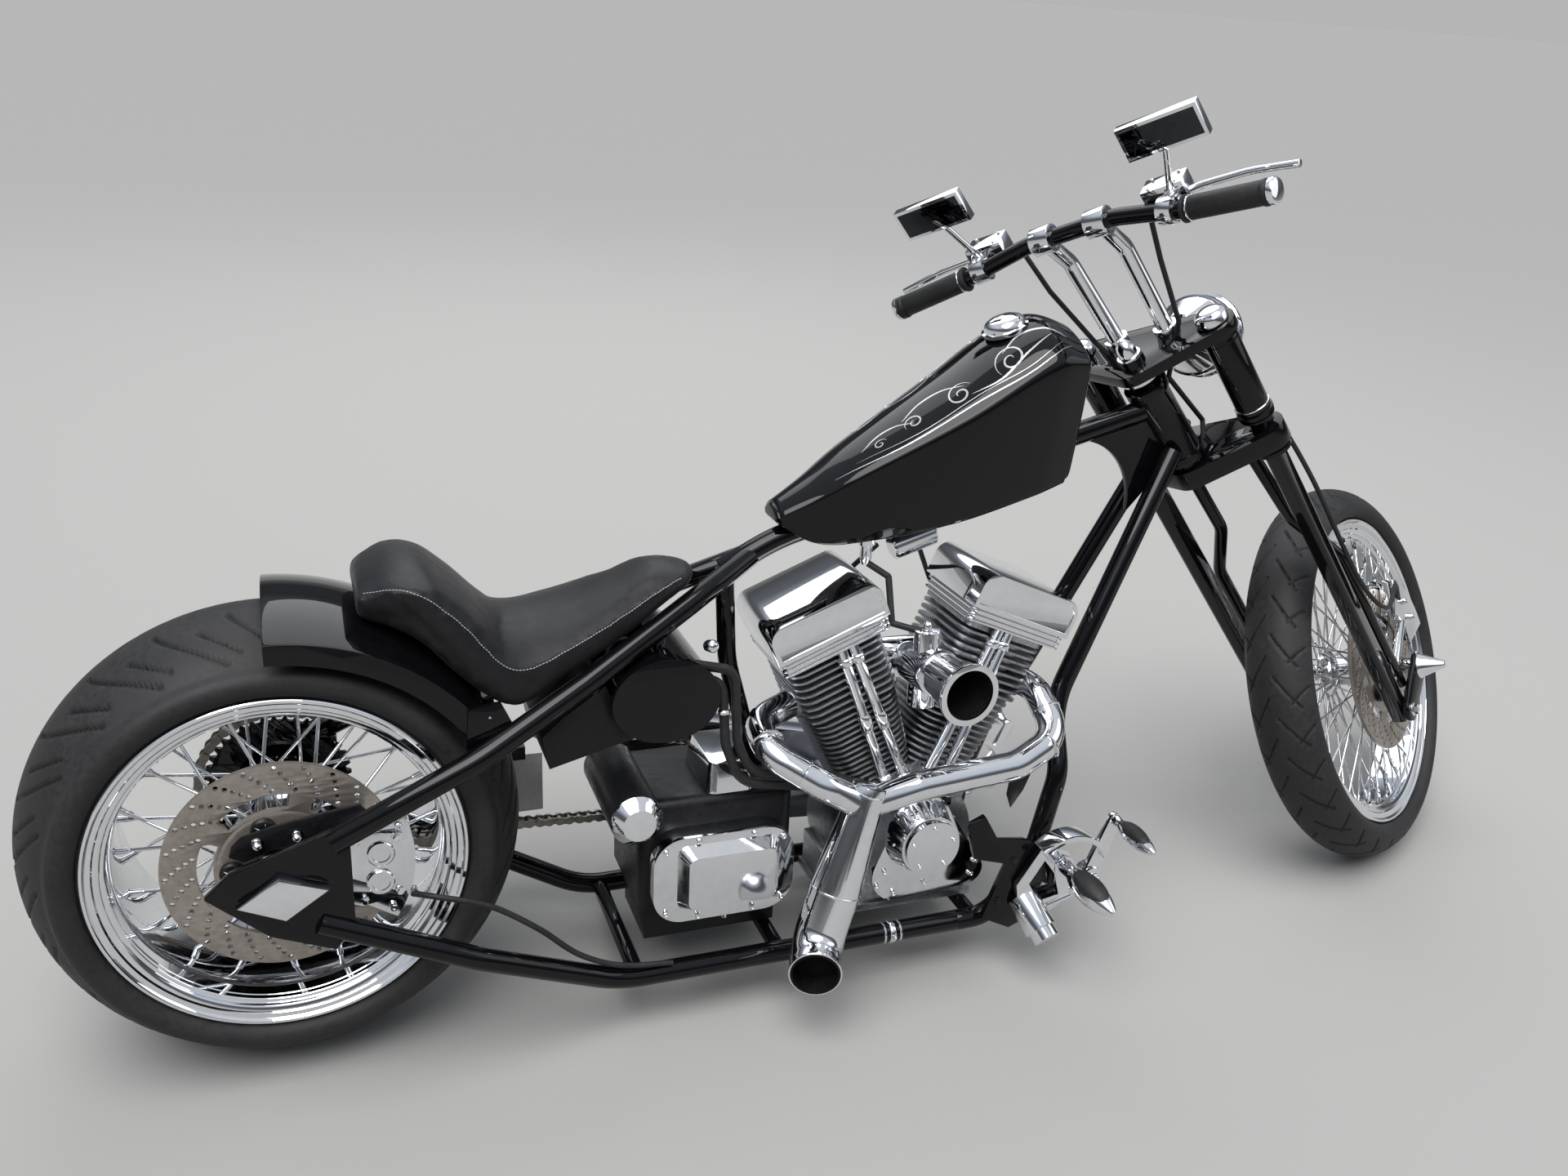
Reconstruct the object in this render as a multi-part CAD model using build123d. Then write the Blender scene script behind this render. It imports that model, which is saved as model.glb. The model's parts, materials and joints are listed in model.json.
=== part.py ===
from build123d import *
import math
import os

# A long raked chopper motorcycle, leaning on its side stand with its steering on the left stop
# Drawn upright and straight in millimetres: X forward, Y to the rider's left, Z up, rear axle at the origin
# Every piece is then steered, leaned and set on the ground at the end of the file

# Stance
wheelbase = 1904.0
rake = 38.5
fork_offset = 126.0
lean_angle = 4.5
steer_lock = 36.0

# Tyres and wheels: rim to its lip, lip above the bead, well below it, tyre above the rim, crown, half widths
rear_rim_radius = 238.0
rear_lip_height = 10.0
rear_well_depth = 24.0
rear_tyre_height = 84.0
rear_crown_radius = 150.0
rear_tread_half = 106.0
rear_tyre_half = 124.0
rear_rim_half = 115.0
rear_spoke_count = 40
front_rim_radius = 281.0
front_lip_height = 13.0
front_well_depth = 16.0
front_tyre_height = 62.0
front_crown_radius = 62.0
front_tread_half = 54.0
front_tyre_half = 58.0
front_rim_half = 46.0
front_spoke_count = 60
rear_bead_radius = rear_rim_radius - rear_lip_height
rear_tyre_radius = rear_rim_radius + rear_tyre_height
front_bead_radius = front_rim_radius - front_lip_height
front_tyre_radius = front_rim_radius + front_tyre_height
spoke_radius = 2.4
rear_axle_radius = 12.7
front_axle_radius = 10.0
bearing_clearance = 0.05
seat_clearance = 0.3

# Brake discs, sprockets and chain
disc_radius = 147.0
disc_thickness = 6.0
disc_carrier_radius = 80.0
disc_hole_radius = 4.0
disc_holes_per_row = 12
disc_row_depths = (9.0, 20.0, 31.0)
wheel_cap_radius = 16.0
wheel_cap_height = 10.0
rear_disc_side = 104.0
front_disc_side = 62.0
chain_side = 139.0
rear_sprocket_radius = 101.0
front_sprocket_radius = 50.0
sprocket_thickness = 7.0
sprocket_teeth = 40
chain_half_width = 9.0
chain_height = 14.0
chain_plate_step = 2.5
chain_clearance = 0.5

# Frame tubes
tube_radius = 16.0
stay_radius = 16.0
backbone_radius = 17.5
neck_radius = 30.0
neck_bore = 12.7
stem_radius = 12.6
neck_bottom = 585.0
neck_top = 735.0
rail_side = 130.0
rail_height = -250.0
rail_rear_x = 441.0
rail_front_x = 1045.0
axle_plate_side = 168.0
axle_plate_thickness = 12.0

# Engine: a 45 degree V-twin round its crank centre
crank_x = 917.0
crank_z = -128.0
vee_half_angle = 22.5
case_radius = 112.0
case_half = 72.0
barrel_start = 100.0
barrel_top = 262.0
fin_first = 128.0
fin_pitch = 10.5
fin_count = 13
fin_thickness = 3.6
barrel_radius = 54.0
fin_length = 146.0
fin_width = 150.0
fin_corner = 30.0
fin_taper = 0.14
head_fin_count = 8
head_fin_pitch = 12.0
head_fin_thickness = 4.0
port_reach = 82.0
head_top = 372.0
rocker_top = 452.0
rocker_length = 176.0
rocker_width = 160.0
rocker_shift = -15.0
rocker_rib_pitch = 8.0
rocker_rib_thickness = 3.5
rocker_shell_start = 22.0
rocker_corner = 24.0
rocker_border = 7.0
rocker_panel_depth = 3.0
pushrod_side = 86.0
pushrod_radius = 8.0

# Gearbox
gearbox_x = 600.0
gearbox_z = -80.0
gearbox_length = 236.0
gearbox_height = 176.0
gearbox_half = 92.0

# Fork, along the steering axis from the height of the rear axle
top_tree_low = 757.0
top_tree_high = 775.0
lower_tree_low = 540.0
lower_tree_high = 574.0
leg_side_top = 113.0
leg_side_low = 108.0
leg_ahead_top = 62.0
leg_ahead_low = 27.0
leg_bottom = -85.0
leg_width = 28.0
leg_depth = 36.0
sleeve_radius = 26.0
thin_tube_radius = 11.0
bar_radius = 12.7
bar_along = 1005.0
bar_ahead = 27.0
grip_inner = 180.0
grip_outer = 310.0
grip_radius = 17.0
riser_side = 46.0

# Side stand
stand_pivot = (620.0, 168.0, -262.0)
stand_foot_side = 345.0
stand_foot_x = 672.0
stand_leg_radius = 9.0
stand_foot_radius = 21.0
stand_foot_thickness = 7.0

nodes = {}


def keep(name, body, shape):
    """Store a sub-part as a list of solids under its node name and moving body."""
    shapes = shape if isinstance(shape, list) else [shape]
    solids = []
    for item in shapes:
        solids.extend(item.solids())
    nodes[name] = (body, solids)


def across(x, z, side_from, side_to, radius):
    """Round bar lying across the bike, from one side value to another."""
    length = side_to - side_from
    return Pos(x, (side_from + side_to) / 2, z) * Rot(90, 0, 0) * Cylinder(radius, abs(length))


def rod(start, end, radius):
    """Round bar between two points."""
    axis = Vector(end) - Vector(start)
    plane = Plane(origin=start, z_dir=axis)
    return plane * Cylinder(radius, axis.length, align=(Align.CENTER, Align.CENTER, Align.MIN))


def cone(start, end, radius_start, radius_end):
    """Tapered round bar between two points."""
    axis = Vector(end) - Vector(start)
    plane = Plane(origin=start, z_dir=axis)
    shape = Cone(radius_start, radius_end, axis.length, align=(Align.CENTER, Align.CENTER, Align.MIN))
    return plane * shape


def bent_tube(points, radius, bends):
    """Round tube along straight runs joined by tangent bends."""
    path = FilletPolyline(*points, radius=bends)
    start = Plane(origin=path @ 0, z_dir=path % 0)
    return sweep(start * Circle(radius), path=path)


def turned(profile):
    """Solid of revolution about the axle line from (radius, side) points."""
    return revolve(make_face(Polyline(*profile, close=True)), axis=Axis.Y)


def plate(points, side_from, side_to):
    """Flat plate with an (x, z) outline, standing across the bike between two side values."""
    outline = make_face(Plane.XZ * Polyline(*points, close=True))
    return extrude(outline, amount=side_to - side_from, dir=(0, 1, 0)).moved(Location((0, side_from, 0)))


def mirrored(shape):
    """The same piece on the other side of the bike."""
    return mirror(shape, about=Plane.XZ)


# Steering axis, its foot at the height of the rear axle
axis_dir = Vector(-math.sin(math.radians(rake)), 0, math.cos(math.radians(rake)))
ahead_dir = Vector(math.cos(math.radians(rake)), 0, math.sin(math.radians(rake)))
lean_turn = math.radians(lean_angle)


def leaned(vector):
    """A direction after the bike leans to its left."""
    up = vector.Z * math.cos(lean_turn) - vector.Y * math.sin(lean_turn)
    side = vector.Y * math.cos(lean_turn) + vector.Z * math.sin(lean_turn)
    return Vector(vector.X, side, up)


def contact_depth(radius, crown, axle_up):
    """Height of a leaning tyre's axle centre above the ground it touches."""
    return (radius - crown) * math.sqrt(1 - axle_up ** 2) + crown


steer_turn = math.radians(steer_lock)
steered_ahead = ahead_dir * math.cos(steer_turn) + Vector(0, 1, 0) * math.sin(steer_turn)
steered_axle = Vector(0, 1, 0) * math.cos(steer_turn) - ahead_dir * math.sin(steer_turn)
rear_lift = contact_depth(rear_tyre_radius, rear_crown_radius, math.sin(lean_turn))
front_lift = contact_depth(front_tyre_radius, front_crown_radius, leaned(steered_axle).Z)
axle_along = (front_lift - rear_lift - leaned(steered_ahead * fork_offset).Z) / leaned(axis_dir).Z
steer_x = wheelbase - fork_offset * ahead_dir.X - axle_along * axis_dir.X
steer_foot = Vector(steer_x, 0, 0)
fork_plane = Plane(origin=steer_foot, x_dir=ahead_dir, z_dir=axis_dir)


def on_axis(along, ahead=0.0, side=0.0):
    """A point given along, ahead of and beside the steering axis."""
    return steer_foot + axis_dir * along + ahead_dir * ahead + Vector(0, side, 0)


# Wheels
def tyre(radius, crown, tread_half, widest, lip_radius, bead_radius, bead_half):
    """Tyre as a closed ring: crowned tread, rounded shoulders and bulged sidewalls."""
    shoulder = radius - crown + math.sqrt(crown ** 2 - tread_half ** 2)
    wall_foot = lip_radius + 2
    wall_mid = (shoulder + wall_foot) / 2 + 2
    tread = ThreePointArc((shoulder, -tread_half), (radius, 0), (shoulder, tread_half))
    left_wall = ThreePointArc((shoulder, tread_half), (wall_mid, widest), (wall_foot, bead_half))
    right_wall = ThreePointArc((wall_foot, -bead_half), (wall_mid, -widest), (shoulder, -tread_half))
    inside = Polyline((wall_foot, bead_half), (bead_radius, bead_half), (bead_radius, -bead_half),
                      (wall_foot, -bead_half))
    return revolve(make_face([tread, left_wall, inside, right_wall]), axis=Axis.Y)


def wire_wheel(lip, bead_radius, half, well, hub, axle_radius, count):
    """Rim, hub and spokes in one piece. hub is (flange side, flange radius, barrel radius, half length)."""
    flange_side, flange_radius, barrel_radius, hub_half = hub
    step = bead_radius - 14
    rim = turned([
        (bead_radius, -half + 7), (lip, -half + 6), (lip, -half), (step, -half - 1),
        (step - 6, -half + 16), (well, -half * 0.45), (well, half * 0.45), (step - 6, half - 16),
        (step, half + 1), (lip, half), (lip, half - 6), (bead_radius, half - 7),
    ])
    bore = axle_radius + bearing_clearance
    core = turned([
        (bore, -hub_half), (barrel_radius * 0.8, -hub_half), (barrel_radius * 0.8, -flange_side - 5),
        (flange_radius, -flange_side - 4), (flange_radius, -flange_side + 4),
        (barrel_radius, -flange_side + 10), (barrel_radius, flange_side - 10),
        (flange_radius, flange_side - 4), (flange_radius, flange_side + 4),
        (barrel_radius * 0.8, flange_side + 5), (barrel_radius * 0.8, hub_half), (bore, hub_half),
    ])
    spokes = []
    for index in range(count):
        turn = 360.0 * index / count
        side = 1 if index % 2 else -1
        slant = 28.0 if (index // 2) % 2 else -28.0
        inner = Vector(flange_radius - 4, 0, 0).rotate(Axis.Y, turn + slant)
        outer = Vector(well + 6, 0, 0).rotate(Axis.Y, turn)
        start = Vector(inner.X, side * flange_side, inner.Z)
        end = Vector(outer.X, side * half * 0.12, outer.Z)
        spokes.append(rod(start, end, spoke_radius))
    return rim.fuse(core, *spokes)


def brake_disc(side, hub_side, carrier_bore):
    """Steel disc on an aluminium carrier that reaches in to the hub."""
    low = side - disc_thickness / 2
    high = side + disc_thickness / 2
    ring_inner = 0.70 * disc_radius
    ring = turned([(ring_inner, low), (disc_radius, low), (disc_radius, high), (ring_inner, high)])
    hole_turn = 360.0 / disc_holes_per_row
    holes = []
    for row, depth in enumerate(disc_row_depths):
        hole = across(disc_radius - depth, 0, low - 1, high + 1, disc_hole_radius)
        for index in range(disc_holes_per_row):
            holes.append(hole.rotate(Axis.Y, hole_turn * (index + row / len(disc_row_depths))))
    ring = ring - holes
    cap_place = (disc_carrier_radius + carrier_bore) / 2
    caps = []
    for index in range(5):
        cap = across(cap_place, 0, high - 1, high + wheel_cap_height, wheel_cap_radius)
        caps.append(cap.rotate(Axis.Y, 72 * index + 36))
    centre = turned([(carrier_bore, hub_side), (disc_carrier_radius, hub_side),
                     (disc_carrier_radius, high), (carrier_bore, high)])
    arm_place = Pos((disc_carrier_radius + ring_inner) / 2 - 2, side, 0)
    arm = arm_place * Box(ring_inner - disc_carrier_radius + 12, disc_thickness, 26)
    arms = [arm.rotate(Axis.Y, 72 * index) for index in range(5)]
    return ring.fuse(centre, *arms, *caps)


rear_hub = (74.0, 58.0, 34.0, 96.0)
front_hub = (36.0, 44.0, 26.0, 46.0)
rear_bead_half = rear_rim_half - 7
front_bead_half = front_rim_half - 7
keep("rear_tyre", "rear_wheel", tyre(rear_tyre_radius, rear_crown_radius, rear_tread_half, rear_tyre_half,
                                     rear_rim_radius, rear_bead_radius, rear_bead_half))
keep("rear_rim_and_spokes", "rear_wheel", wire_wheel(rear_rim_radius, rear_bead_radius, rear_rim_half,
                                                     rear_bead_radius - rear_well_depth, rear_hub,
                                                     rear_axle_radius, rear_spoke_count))
hub_end_radius = rear_hub[2] * 0.8
rear_disc = brake_disc(rear_disc_side, rear_hub[0] + 5, hub_end_radius)
keep("rear_brake_disc", "rear_wheel", mirrored(rear_disc))


def sprocket(radius, side, hub_from, bore):
    """Toothed ring with a boss that reaches in to the hub."""
    low = side - sprocket_thickness / 2
    root = radius - 7
    high = low + sprocket_thickness
    blank = turned([(bore, low), (root, low), (root, high), (bore, high)])
    boss = turned([(bore, hub_from), (bore + 30, hub_from), (bore + 30, low + 1), (bore, low + 1)])
    teeth = []
    half_pitch = math.pi * radius / sprocket_teeth
    for index in range(sprocket_teeth):
        outline = Plane.XZ * Polyline((root - 3, -half_pitch * 0.62), (root, -half_pitch * 0.6),
                                      (radius, -half_pitch * 0.22), (radius, half_pitch * 0.22),
                                      (root, half_pitch * 0.6), (root - 3, half_pitch * 0.62), close=True)
        tooth = extrude(make_face(outline), amount=sprocket_thickness, dir=(0, 1, 0))
        tooth = tooth.moved(Location((0, low, 0)))
        teeth.append(tooth.rotate(Axis.Y, 360.0 * index / sprocket_teeth))
    return blank.fuse(boss, *teeth)


rear_sprocket = sprocket(rear_sprocket_radius, chain_side, rear_hub[0] + 5, hub_end_radius)
keep("rear_sprocket", "rear_wheel", rear_sprocket)

front_tyre = tyre(front_tyre_radius, front_crown_radius, front_tread_half, front_tyre_half,
                  front_rim_radius, front_bead_radius, front_bead_half)
front_wheel = wire_wheel(front_rim_radius, front_bead_radius, front_rim_half,
                         front_bead_radius - front_well_depth, front_hub, front_axle_radius,
                         front_spoke_count)
front_disc = mirrored(brake_disc(front_disc_side, front_hub[0] + 5, front_hub[2] * 0.8))
front_axle_place = Location((fork_offset, 0, axle_along))
keep("front_tyre", "front_wheel", front_tyre.moved(front_axle_place))
keep("front_rim_and_spokes", "front_wheel", front_wheel.moved(front_axle_place))
keep("front_brake_disc", "front_wheel", front_disc.moved(front_axle_place))

# Frame
backbone_tail = (622.0, 0.0, 322.0)
backbone_knee = (704.0, 0.0, 366.0)
backbone_front = on_axis(700.0, -neck_radius + 3)
backbone_slope = (backbone_front.Z - backbone_knee[2]) / (backbone_front.X - backbone_knee[0])


def backbone_height(x):
    """Height of the backbone's centre line at a place along the bike."""
    return backbone_knee[2] + backbone_slope * (x - backbone_knee[0])


backbone = bent_tube([backbone_tail, backbone_knee, tuple(backbone_front)], backbone_radius, [300])

stay_points = [(62, -axle_plate_side, 58), (250, -160, 146), (400, -112, 216), (560, -46, 291),
               (664, -3, 343)]
stay_bends = [200, 250, 250]
stay = bent_tube(stay_points, stay_radius, stay_bends) - backbone
stay = stay.solids().sort_by(SortBy.VOLUME)[-1]
keep("frame_upper_stays", "chassis", [stay, mirrored(stay)])


def stay_spot(x):
    """A point on the right stay's centre line at a place along the bike."""
    for start, end in zip(stay_points, stay_points[1:]):
        if x <= end[0]:
            share = (x - start[0]) / (end[0] - start[0])
            return tuple(Vector(start) + (Vector(end) - Vector(start)) * share)
    return stay_points[-1]


post_points = [(626, 0, 328), (634, 0, 180), (690, 0, -20), (690, 0, rail_height + 24)]
seat_post = bent_tube(post_points, 14.0, [200, 200])
seat_post = (seat_post - stay - mirrored(stay)).solids().sort_by(SortBy.VOLUME)[-1]

neck_tube = rod(on_axis(neck_bottom), on_axis(neck_top), neck_radius)
neck_cups = [rod(on_axis(neck_bottom), on_axis(neck_bottom + 14), neck_radius + 4),
             rod(on_axis(neck_top - 14), on_axis(neck_top), neck_radius + 4)]
gusset_top = on_axis(690, -20)
gusset_foot = on_axis(600, -20)
gusset_tip = on_axis(580, -132)
gusset_rear_x = gusset_top.X - 120
gusset_rear_z = backbone_height(gusset_rear_x)
gusset_corners = [(gusset_rear_x, gusset_rear_z - 10), (gusset_rear_x + 10, gusset_rear_z),
                  (gusset_top.X, gusset_top.Z), (gusset_foot.X, gusset_foot.Z), (gusset_tip.X, gusset_tip.Z)]
gusset_hollow = ThreePointArc(gusset_corners[-1], (gusset_tip.X - 32, gusset_tip.Z + 90), gusset_corners[0])
gusset_face = make_face((Plane.XZ * Polyline(*gusset_corners)).edges() + (Plane.XZ * gusset_hollow).edges())
gusset = extrude(gusset_face, amount=10, dir=(0, 1, 0)).moved(Location((0, -5, 0)))
neck = neck_tube.fuse(*neck_cups, gusset) - rod(on_axis(neck_bottom - 5), on_axis(neck_top + 5), neck_bore)

downtube_points = [tuple(on_axis(622, -22, -24)), (1163, -62, 75), (1152, -118, -15),
                   (1118, -rail_side, -135), (rail_front_x, -rail_side, rail_height)]
downtube_end = (rail_front_x - 60, -rail_side, rail_height)
downtube = bent_tube(downtube_points + [downtube_end], tube_radius, [160, 90, 90, 60])
downtube = (downtube - neck).solids().sort_by(SortBy.VOLUME)[-1]
spine = backbone.fuse(neck, seat_post) - rod(on_axis(neck_bottom - 5), on_axis(neck_top + 5), neck_bore)
keep("frame_spine", "chassis", spine)

rail_points = [downtube_end, (rail_rear_x, -rail_side, rail_height), (240, -axle_plate_side, -150),
               (40, -axle_plate_side, -54)]
rail = bent_tube(rail_points, tube_radius, [150, 150])

axle_plate_outline = [(-92, 4), (-60, 34), (62, 76), (84, 60), (84, -62), (58, -96), (-20, -62)]
axle_plate = plate(axle_plate_outline, -axle_plate_side - axle_plate_thickness / 2,
                   -axle_plate_side + axle_plate_thickness / 2)
axle_plate = axle_plate - across(0, 0, -axle_plate_side - 40, -axle_plate_side + 40, rear_axle_radius)
for solid in (stay, rail):
    axle_plate = axle_plate - solid
axle_plate = axle_plate.solids().sort_by(SortBy.VOLUME)[-1]

axle_half = axle_plate_side + axle_plate_thickness / 2 + 16
spacer_from = rear_hub[3] + 1.0
spacer_to = axle_plate_side - axle_plate_thickness / 2
axle_spacer = across(0, 0, spacer_from, spacer_to, 20.0)
axle_nut = across(0, 0, axle_half - 16, axle_half - 2, 24.0)
rear_axle = across(0, 0, -axle_half, axle_half, rear_axle_radius)
rear_axle = rear_axle.fuse(axle_spacer, mirrored(axle_spacer), axle_nut, mirrored(axle_nut))
keep("rear_axle_and_plates", "chassis", rear_axle.fuse(axle_plate, mirrored(axle_plate)))

inner_side = rail_side - tube_radius + 2
cross_members = []
for cross_x in (470.0, 690.0, 1020.0):
    bar = across(cross_x, rail_height, -inner_side, inner_side, 12.0)
    for solid in (rail, mirrored(rail), downtube, mirrored(downtube), seat_post):
        bar = bar - solid
    cross_members.append(bar.solids().sort_by(SortBy.VOLUME)[-1])
keep("frame_cross_tubes", "chassis", cross_members)

# Bodywork
tunnel_half = backbone_radius + 3
tunnel_rise = backbone_radius * math.sqrt(1 + backbone_slope ** 2) + seat_clearance
tank_rear_x = 692.0
tank_neck_gap = 152.0
tank_front_x = backbone_front.X - tank_neck_gap
tank_sections = [  # share of the length, underside, crease and top above the backbone, half widths
    (0.000, 33, 41, 55, 26, 31),
    (0.119, -12, 55, 76, 36, 48),
    (0.238, -31, 75, 101, 44, 66),
    (0.568, -48, 119, 160, 62, 98),
    (0.855, -46, 158, 210, 70, 106),
    (1.000, -43, 139, 179, 64, 90),
]
tank_faces = []
for share, under, crease, top, half_under, half_crease in tank_sections:
    place = tank_rear_x + share * (tank_front_x - tank_rear_x)
    base = Plane(origin=(place, 0, backbone_height(place)), x_dir=(0, 1, 0), z_dir=(1, 0, 0))
    dome = ThreePointArc((half_crease, crease), (0, top), (-half_crease, crease))
    left = Line((-half_crease, crease), (-half_under, under))
    floor = Line((-half_under, under), (half_under, under))
    right = Line((half_under, under), (half_crease, crease))
    tank_faces.append(base * make_face([dome, left, floor, right]))
tank = loft(tank_faces)
tunnel_rear = (tank_rear_x - 10, backbone_height(tank_rear_x - 10) + tunnel_rise)
tunnel_front = (tank_front_x + 10, backbone_height(tank_front_x + 10) + tunnel_rise)
tunnel_low = tunnel_rear[1] - 120
tunnel_outline = [tunnel_rear, tunnel_front, (tunnel_front[0], tunnel_low), (tunnel_rear[0], tunnel_low)]
tank = tank - plate(tunnel_outline, -tunnel_half, tunnel_half)
tank = tank.solids().sort_by(SortBy.VOLUME)[-1]
cap_x = tank_front_x - 100
cap_centre = Vector(cap_x, 0, backbone_height(cap_x) + 199)
tank_cap = rod(cap_centre, cap_centre + Vector(-9, 0, 22), 30.0)
keep("fuel_tank", "chassis", tank.fuse(tank_cap))

fender_gap = 15.0
fender_inner = rear_tyre_radius + fender_gap
fender_thickness = 3.0
fender_outer = fender_inner + fender_thickness
fender_half = rear_tyre_half + 10
fender_start = 32.0
fender_end = 90.0
edge = fender_inner - 46
outer_skin = ThreePointArc((fender_outer - 22, -fender_half), (fender_outer, 0),
                           (fender_outer - 22, fender_half))
inner_skin = ThreePointArc((fender_inner - 22, fender_half - fender_thickness), (fender_inner, 0),
                           (fender_inner - 22, -fender_half + fender_thickness))
fender_profile = make_face([
    outer_skin,
    Line((fender_outer - 22, fender_half), (edge, fender_half)),
    Line((edge, fender_half), (edge, fender_half - fender_thickness)),
    Line((edge, fender_half - fender_thickness), (fender_inner - 22, fender_half - fender_thickness)),
    inner_skin,
    Line((fender_inner - 22, -fender_half + fender_thickness), (edge, -fender_half + fender_thickness)),
    Line((edge, -fender_half + fender_thickness), (edge, -fender_half)),
    Line((edge, -fender_half), (fender_outer - 22, -fender_half)),
])
fender = revolve(fender_profile, axis=Axis.Y, revolution_arc=fender_end - fender_start)
fender = fender.rotate(Axis.Y, -fender_end)
fender_tab = plate([(236, 152), (300, 176), (282, 214), (240, 210)], -fender_half - 10, -fender_half + 0.5)
fender = fender.fuse(fender_tab, mirrored(fender_tab)) - stay - mirrored(stay)
fender = fender.solids().sort_by(SortBy.VOLUME)[-1]
keep("rear_fender", "chassis", fender)

seat_sections = [  # place along the bike, underside, edge, crown, half width
    (112, 322, 348, 358, 84),
    (182, 296, 366, 380, 118),
    (240, 238, 322, 340, 128),
    (300, 190, 252, 292, 132),
    (380, 226, 268, 292, 120),
    (460, 262, 302, 318, 94),
    (530, 302, 334, 348, 66),
    (562, 320, 338, 347, 46),
    (576, 330, 337, 341, 22),
]
seat_faces = []
for place, under, rim_height, crown, half in seat_sections:
    base = Plane(origin=(place, 0, 0), x_dir=(0, 1, 0), z_dir=(1, 0, 0))
    dome = ThreePointArc((half, rim_height), (0, crown), (-half, rim_height))
    left = Line((-half, rim_height), (-half + 4, under))
    floor = Line((-half + 4, under), (half - 4, under))
    right = Line((half - 4, under), (half, rim_height))
    seat_faces.append(base * make_face([dome, left, floor, right]))
seat = loft(seat_faces, ruled=True)
fender_room = revolve(make_face([
    ThreePointArc((fender_outer - 22, -fender_half - 1), (fender_outer + seat_clearance, 0),
                  (fender_outer - 22, fender_half + 1)),
    Line((fender_outer - 22, fender_half + 1), (100, fender_half + 1)),
    Line((100, fender_half + 1), (100, -fender_half - 1)),
    Line((100, -fender_half - 1), (fender_outer - 22, -fender_half - 1)),
]), axis=Axis.Y)
stay_room = bent_tube(stay_points, stay_radius + seat_clearance, stay_bends)
seat = seat - fender_room - stay_room - mirrored(stay_room)
seat = seat.solids().sort_by(SortBy.VOLUME)[-1]
keep("seat", "chassis", seat)

oil_tank_half = 112.0
oil_tank_x = 513.0
oil_tank_z = 176.0
oil_tank_length = 154.0
oil_tank_height = 124.0
mount_radius = 8.0
oil_tank_face = Plane.XZ * Ellipse(oil_tank_length / 2, oil_tank_height / 2)
oil_tank = extrude(oil_tank_face, amount=2 * oil_tank_half, dir=(0, 1, 0))
oil_tank = oil_tank.moved(Location((oil_tank_x, -oil_tank_half, oil_tank_z)))
oil_tank_top = oil_tank_z + oil_tank_height / 2
tank_mount = rod((oil_tank_x, -62, oil_tank_top - 6), stay_spot(oil_tank_x), mount_radius)
oil_tank = oil_tank.fuse(tank_mount, mirrored(tank_mount)) - stay - mirrored(stay)
oil_tank = oil_tank.solids().sort_by(SortBy.VOLUME)[-1]
keep("oil_tank", "chassis", oil_tank)
box_half = 96.0
box_rear_x = 352.0
box_front_x = 452.0
box_outline = [(box_rear_x, 86), (box_front_x + 18, 118), (box_front_x, 150), (box_front_x - 22, 202),
               (box_rear_x + 20, 162), (box_rear_x - 10, 134)]
battery_box = plate(box_outline, -box_half, box_half) - oil_tank
box_mount_x = box_front_x - 36
box_mount = rod((box_mount_x, -box_half + 12, 184), stay_spot(box_mount_x), mount_radius)
battery_box = battery_box.fuse(box_mount, mirrored(box_mount)) - stay - mirrored(stay)
battery_box = battery_box.solids().sort_by(SortBy.VOLUME)[-1]
keep("battery_box", "chassis", battery_box)

# Engine
crank = Vector(crank_x, 0, crank_z)


def barrel_plane(turn):
    """Plane whose height runs up a cylinder from the crank centre."""
    lean_back = math.radians(turn)
    up = Vector(math.sin(lean_back), 0, math.cos(lean_back))
    forward = Vector(math.cos(lean_back), 0, -math.sin(lean_back))
    return Plane(origin=crank, x_dir=forward, z_dir=up)


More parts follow.
